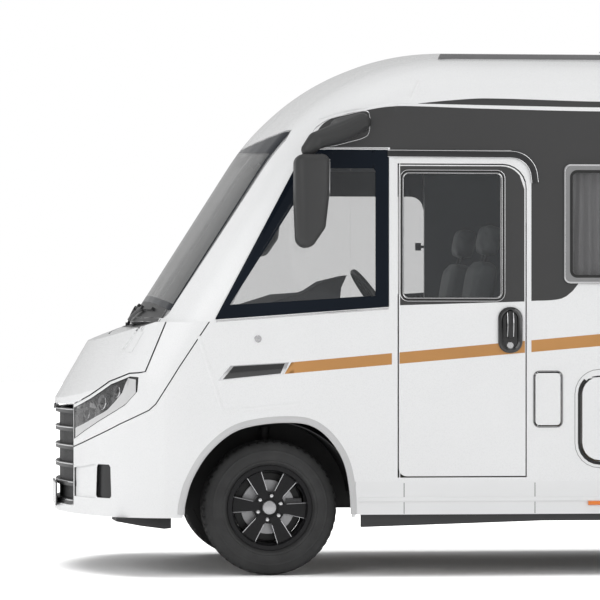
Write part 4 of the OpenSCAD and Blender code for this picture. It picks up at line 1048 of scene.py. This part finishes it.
# Sections of a bolt and of the cap: [radius, out of the hub]
BOLT = [(0.0125, 0), (0.0125, 0.014), (0.0105, 0.016), (0.0105, 0.021), (0.0085, 0.0235), (0.003, 0.0245)]
CAP = [(0.037, 0), (0.037, 0.017), (0.034, 0.021), (0.030, 0.0215), (0.029, 0.0195), (0.018, 0.0215),
       (0.004, 0.0225)]
for place, x, s in WHEELS:
    mesh = nodes["rim_" + place].data
    mesh.materials.append(DISC_STEEL)
    for face in mesh.polygons:
        radius = math.hypot(face.center.x - x, face.center.z - HUB_Z) / MM
        out = (s * face.center.y - WHEEL_Y) / MM
        if out < DISC_FACE and radius < DISC_OUTER:
            face.material_index = 1
    edges, bolts, cap = Shape(), Shape(), Shape()
    out = Vector((0, s, 0))
    for k in range(SPOKES):
        first = 360 / SPOKES * k
        for side in (-1, 1):
            path = []
            for r in spaced(EDGE_IN, EDGE_OUT, 6):
                aside = spoke_half(r) - EDGE_INSET
                turn = first + SPOKE_TURN + side * math.degrees(math.atan2(aside, r))
                path.append(wheel_point(x, s, math.hypot(r, aside), turn, SPOKE_FACE - EDGE_SINK))
            edges.tube(path, EDGE_R, 8)
        bolts.turned(wheel_point(x, s, BOLTS_R, first + BOLT_TURN, HUB_FACE - 1), out, BOLT, 12)
    cap.turned(wheel_point(x, s, 0, 0, HUB_FACE - 1), out, CAP, 40)
    edges.piece("spoke_edges_" + place, RIM_EDGE, "rim", "wheel_" + place)
    bolts.piece("wheel_bolts_" + place, CHROME, "steel", "wheel_" + place)
    cap.piece("hub_cap_" + place, CAP_SILVER, "steel", "wheel_" + place)

# Dust shields behind the brake discs
SHIELD_OUT = -60
SHIELD = [(0.050, 0.0), (0.179, 0.0), (0.183, 0.008), (0.181, 0.008), (0.177, 0.003), (0.050, 0.003)]
for place, x, s in WHEELS:
    shield = Shape()
    shield.turned(wheel_point(x, s, 0, 0, SHIELD_OUT), Vector((0, s, 0)), SHIELD, 48)
    carrier = "knuckle_" + place.split("_")[1] if place.startswith("front") else "body"
    shield.piece("dust_shield_" + place, SATIN_BLACK, "steel", carrier)

# Dark lining on the faces of the shell that look into the cabin: partly the lining's own dark grey, partly
# painted shade of the dim cabin
CABIN_FRONT, CABIN_REAR, CABIN_Z, INWARD = 1.5, -2.0, 1.5, 0.12
# Pillars beside the windscreen: top, rake of the side pane's front edge, share of y that marks the reveal
PILLAR_TOP, PANE_RAKE, REVEAL = 2.22, 460 / 876, 0.9
for name in LINED:
    mesh = nodes[name].data
    for mat in (CABIN_LINING_AND_SHADE, PALE_LINING, FRIT):
        mesh.materials.append(mat)
    for face in mesh.polygons:
        x, y, z = face.center
        inward = Vector((max(min(x, CABIN_FRONT), CABIN_REAR) - x, -y, CABIN_Z - z)).normalized()
        if face.normal.dot(inward) > INWARD:
            face.material_index = 1
            pane_edge = PANE_FRONT + (z / MM - PANE_FOOT) * PANE_RAKE
            if name == "cab_top" and z < PILLAR_TOP and FRONT_AXLE - x < pane_edge * MM:
                face.material_index = 3 if abs(face.normal.y) > REVEAL else 2


# Soft goods
def evaluated(obj):
    return bpy.data.meshes.new_from_object(obj.evaluated_get(bpy.context.evaluated_depsgraph_get()))


PAD_VOXEL, PAD_FRAMES, PAD_PRESSURE = 0.012, 20, 4.0


def swollen(mesh, limit):
    """Copy of a closed mesh, remeshed and blown up by a cloth simulation, no point by more than limit."""
    obj = placed("temporary", mesh)
    remesh = obj.modifiers.new("remesh", "REMESH")
    remesh.mode = "VOXEL"
    remesh.voxel_size = PAD_VOXEL
    start = evaluated(obj)
    bpy.data.objects.remove(obj)
    obj = placed("temporary", start)
    cloth = obj.modifiers.new("cloth", "CLOTH")
    cloth.settings.use_pressure = True
    cloth.settings.uniform_pressure_force = PAD_PRESSURE
    cloth.settings.effector_weights.gravity = 0
    cloth.point_cache.frame_start = 1
    cloth.point_cache.frame_end = PAD_FRAMES
    for step in range(1, PAD_FRAMES + 1):
        scene.frame_set(step)
    end = evaluated(obj)
    for before, after in zip(start.vertices, end.vertices):
        move = after.co - before.co
        if move.length > limit:
            after.co = before.co + move * (limit / move.length)
    bpy.data.objects.remove(obj)
    scene.frame_set(1)
    return end


def pad(name, outline, y0, y1, limit, waist):
    """Cushion from an outline [u, z] between y0 and y1, its ends drawn in by waist."""
    middle_u, middle_z = [sum(p[i] for p in outline) / len(outline) for i in (0, 1)]
    shape = Shape()
    loops = []
    for t in spaced(-1, 1, 8):
        pull = 1 - waist * abs(t) ** 4
        y = (y0 + y1) / 2 + (y1 - y0) / 2 * t
        loops.append([at(middle_u + (u - middle_u) * pull, y, middle_z + (z - middle_z) * pull)
                      for u, z in outline])
    shape.solid(loops)
    obj = shape.piece(name, SEAT, "seat", shaded=False)
    obj.data = swollen(obj.data, limit)
    obj.data.materials.clear()
    obj.data.materials.append(SEAT)
    obj.data.shade_smooth()
    rounder = obj.modifiers.new("rounder", "SUBSURF")
    rounder.levels = rounder.render_levels = 1


# Cab seats: side outlines of the cushion, backrest and headrest, half width, swelling limit
SEAT_Y, SEAT_FILL, SEAT_WAIST = 480, 0.7, 0.08
SEAT_PADS = [
    ("cushion", [(590, 985), (600, 1040), (640, 1080), (760, 1096), (1030, 1102), (1045, 975), (900, 968),
                 (620, 968)], 226, 0.016),
    ("backrest", [(1052, 1118), (1062, 1010), (1118, 985), (1150, 1130), (1248, 1640), (1232, 1664),
                  (1164, 1672), (1145, 1640)], 226, 0.016),
    ("headrest", [(1166, 1700), (1256, 1684), (1284, 1828), (1270, 1838), (1206, 1850), (1190, 1840)],
     120, 0.012),
]
for s, side in SIDE_NAME.items():
    for part, outline, half_w, limit in SEAT_PADS:
        low, high = s * SEAT_Y - half_w, s * SEAT_Y + half_w
        pad("seat_%s_%s" % (part, side), outline, low, high, limit, SEAT_WAIST)
# Pedestals: front, rear, half width, rings of [height, inset], and the posts of the headrests
BASE_U0, BASE_U1, BASE_HALF, POST_Y = 730, 1110, 180, 60
BASE_RINGS = [(520, 0), (560, 0), (590, 22), (880, 22), (915, 0), (962, 0)]
frames = Shape()
for s in (1, -1):
    y = s * SEAT_Y
    loops = []
    for z, g in BASE_RINGS:
        ring = round_path(BASE_U0 + g, g - BASE_HALF, BASE_U1 - g, BASE_HALF - g, 40, 5)
        loops.append([at(u, y + v, z) for u, v in ring])
    frames.solid(loops)
    for shift in (-POST_Y, POST_Y):
        frames.tube([at(1190 + 28 * t, y + shift, 1620 + 140 * t) for t in spaced(0, 1, 6)], 0.007, 12)
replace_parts(frames.piece("seat_frames", SATIN_BLACK, "dark_trim"), "cab_seats")

# Gathered curtains inside the habitation window: from u, to u
CURTAIN_Y, CURTAIN_TOP, CURTAIN_LOW = 1052, 2120, 1572
FOLD, FOLD_DEEP, CURTAIN_STEPS = 46.0, 15.0, 96
CURTAINS = [("front", 1568, 1830), ("rear", 2250, 2400)]
for place, u0, u1 in CURTAINS:
    loops = []
    for t in spaced(0, 1, 24):
        row = []
        z = CURTAIN_TOP + (CURTAIN_LOW - CURTAIN_TOP) * t
        for u in spaced(u0, u1, CURTAIN_STEPS):
            wave = math.sin(2 * math.pi * (u - u0) / FOLD + 0.5 * math.sin(3.1 * t + u * 0.011))
            swing = FOLD_DEEP * (0.75 + 0.25 * t) * wave
            row.append(at(u + 4 * t * math.sin(u * 0.05), CURTAIN_Y + swing, z))
        loops.append(row)
    width = sum(sum((b - a).length for a, b in zip(row, row[1:])) for row in loops) / len(loops)
    cloth = Shape()
    cloth.rows(loops)
    curtain = cloth.piece("curtain_" + place, CURTAIN, "seat")
rail = Shape()
rail_z = CURTAIN_TOP + 4
rail.tube([at(1560 + 85 * k, CURTAIN_Y, rail_z) for k in range(11)], 0.006, 10)
for u in (1562, 2408):
    rail.tube([at(u, CURTAIN_Y - 4 + 6 * k, rail_z) for k in range(8)], 0.008, 10)
rail.piece("curtain_rail", SATIN_BLACK, "dark_trim")

# Catch on the far cab window
catch = Shape()
catch.box(at(1062, 8 - WALL, 1742), at(1030, 34 - WALL, 1786))
catch.tube([at(u, inside - WALL, 1764) for u, inside in ((1062, 18), (1074, 14), (1086, 12))], 0.008, 10)
catch.piece("window_catch", SATIN_BLACK, "dark_trim")

# Lines on the bodywork: name, path of [u, z] points, width, height, colour, slot
BODY_LINES = [
    ("wing_crease", [(-385, 1255), (-345, 1128), (-305, 1000), (-272, 895), (-258, 874), (-235, 868),
                     (-60, 884), (142, 905)], 20, 3.0, PAINT, "body_white"),
    ("dome_edge", [(246, 2385), (382, 2427), (560, 2456), (700, 2474), (724, 2494), (742, 2530), (770, 2590)],
     16, 3.0, PAINT, "body_white"),
    ("mirror_foot_line", [(290, 2264), (304, 2244), (400, 2266), (474, 2288), (502, 2318), (506, 2402),
                          (484, 2428), (400, 2411), (304, 2388), (236, 2346), (214, 2318)],
     5, 2.4, CHROME, "steel"),
]
for s, side in SIDE_NAME.items():
    for name, path, width, proud, mat, slot in BODY_LINES:
        strips("%s_%s" % (name, side), [rounded(path)], bead(width, proud, 1.0), SKINS[s], s, mat, slot)

# Mirror glasses on the rear faces of the heads
GLASS_U, GLASS_Y, GLASS_HALF, GLASS_LOW, GLASS_HIGH, GLASS_BOW = 262, 1350, 62, 1985, 2168, 0.002
# Rings of a glass: [out of the head, inset]
GLASS_RINGS = [(0, 0), (12, 0), (15, 3), (15.5, 30)]
for s, side in SIDE_NAME.items():
    glass, loops = Shape(), []
    for out, g in GLASS_RINGS:
        ring = round_path(g - GLASS_HALF, GLASS_LOW + g, GLASS_HALF - g, GLASS_HIGH - g, 30, 6)
        loops.append([at(GLASS_U + out - GLASS_BOW * v ** 2, s * GLASS_Y + v, z) for v, z in ring])
    glass.solid(loops)
    glass.piece("mirror_glass_" + side, MIRROR, "glass")

# Dark air guides ahead of the front wheels, under the bumper
GUIDE = [(-820, 311), (-700, 311), (-535, 311), (-535, 256), (-570, 252), (-690, 268), (-820, 292)]
GUIDE_IN, GUIDE_OUT, GUIDE_MIDDLE, GUIDE_SWEEP = 560, 1040, 800, 0.05
for s, side in SIDE_NAME.items():
    guide = Shape()
    guide.solid([[at(u + abs(v - GUIDE_MIDDLE) * GUIDE_SWEEP, s * v, z) for u, z in GUIDE]
                 for v in spaced(GUIDE_IN, GUIDE_OUT, 12)])
    guide.piece("air_guide_" + side, CHASSIS, "dark_trim")
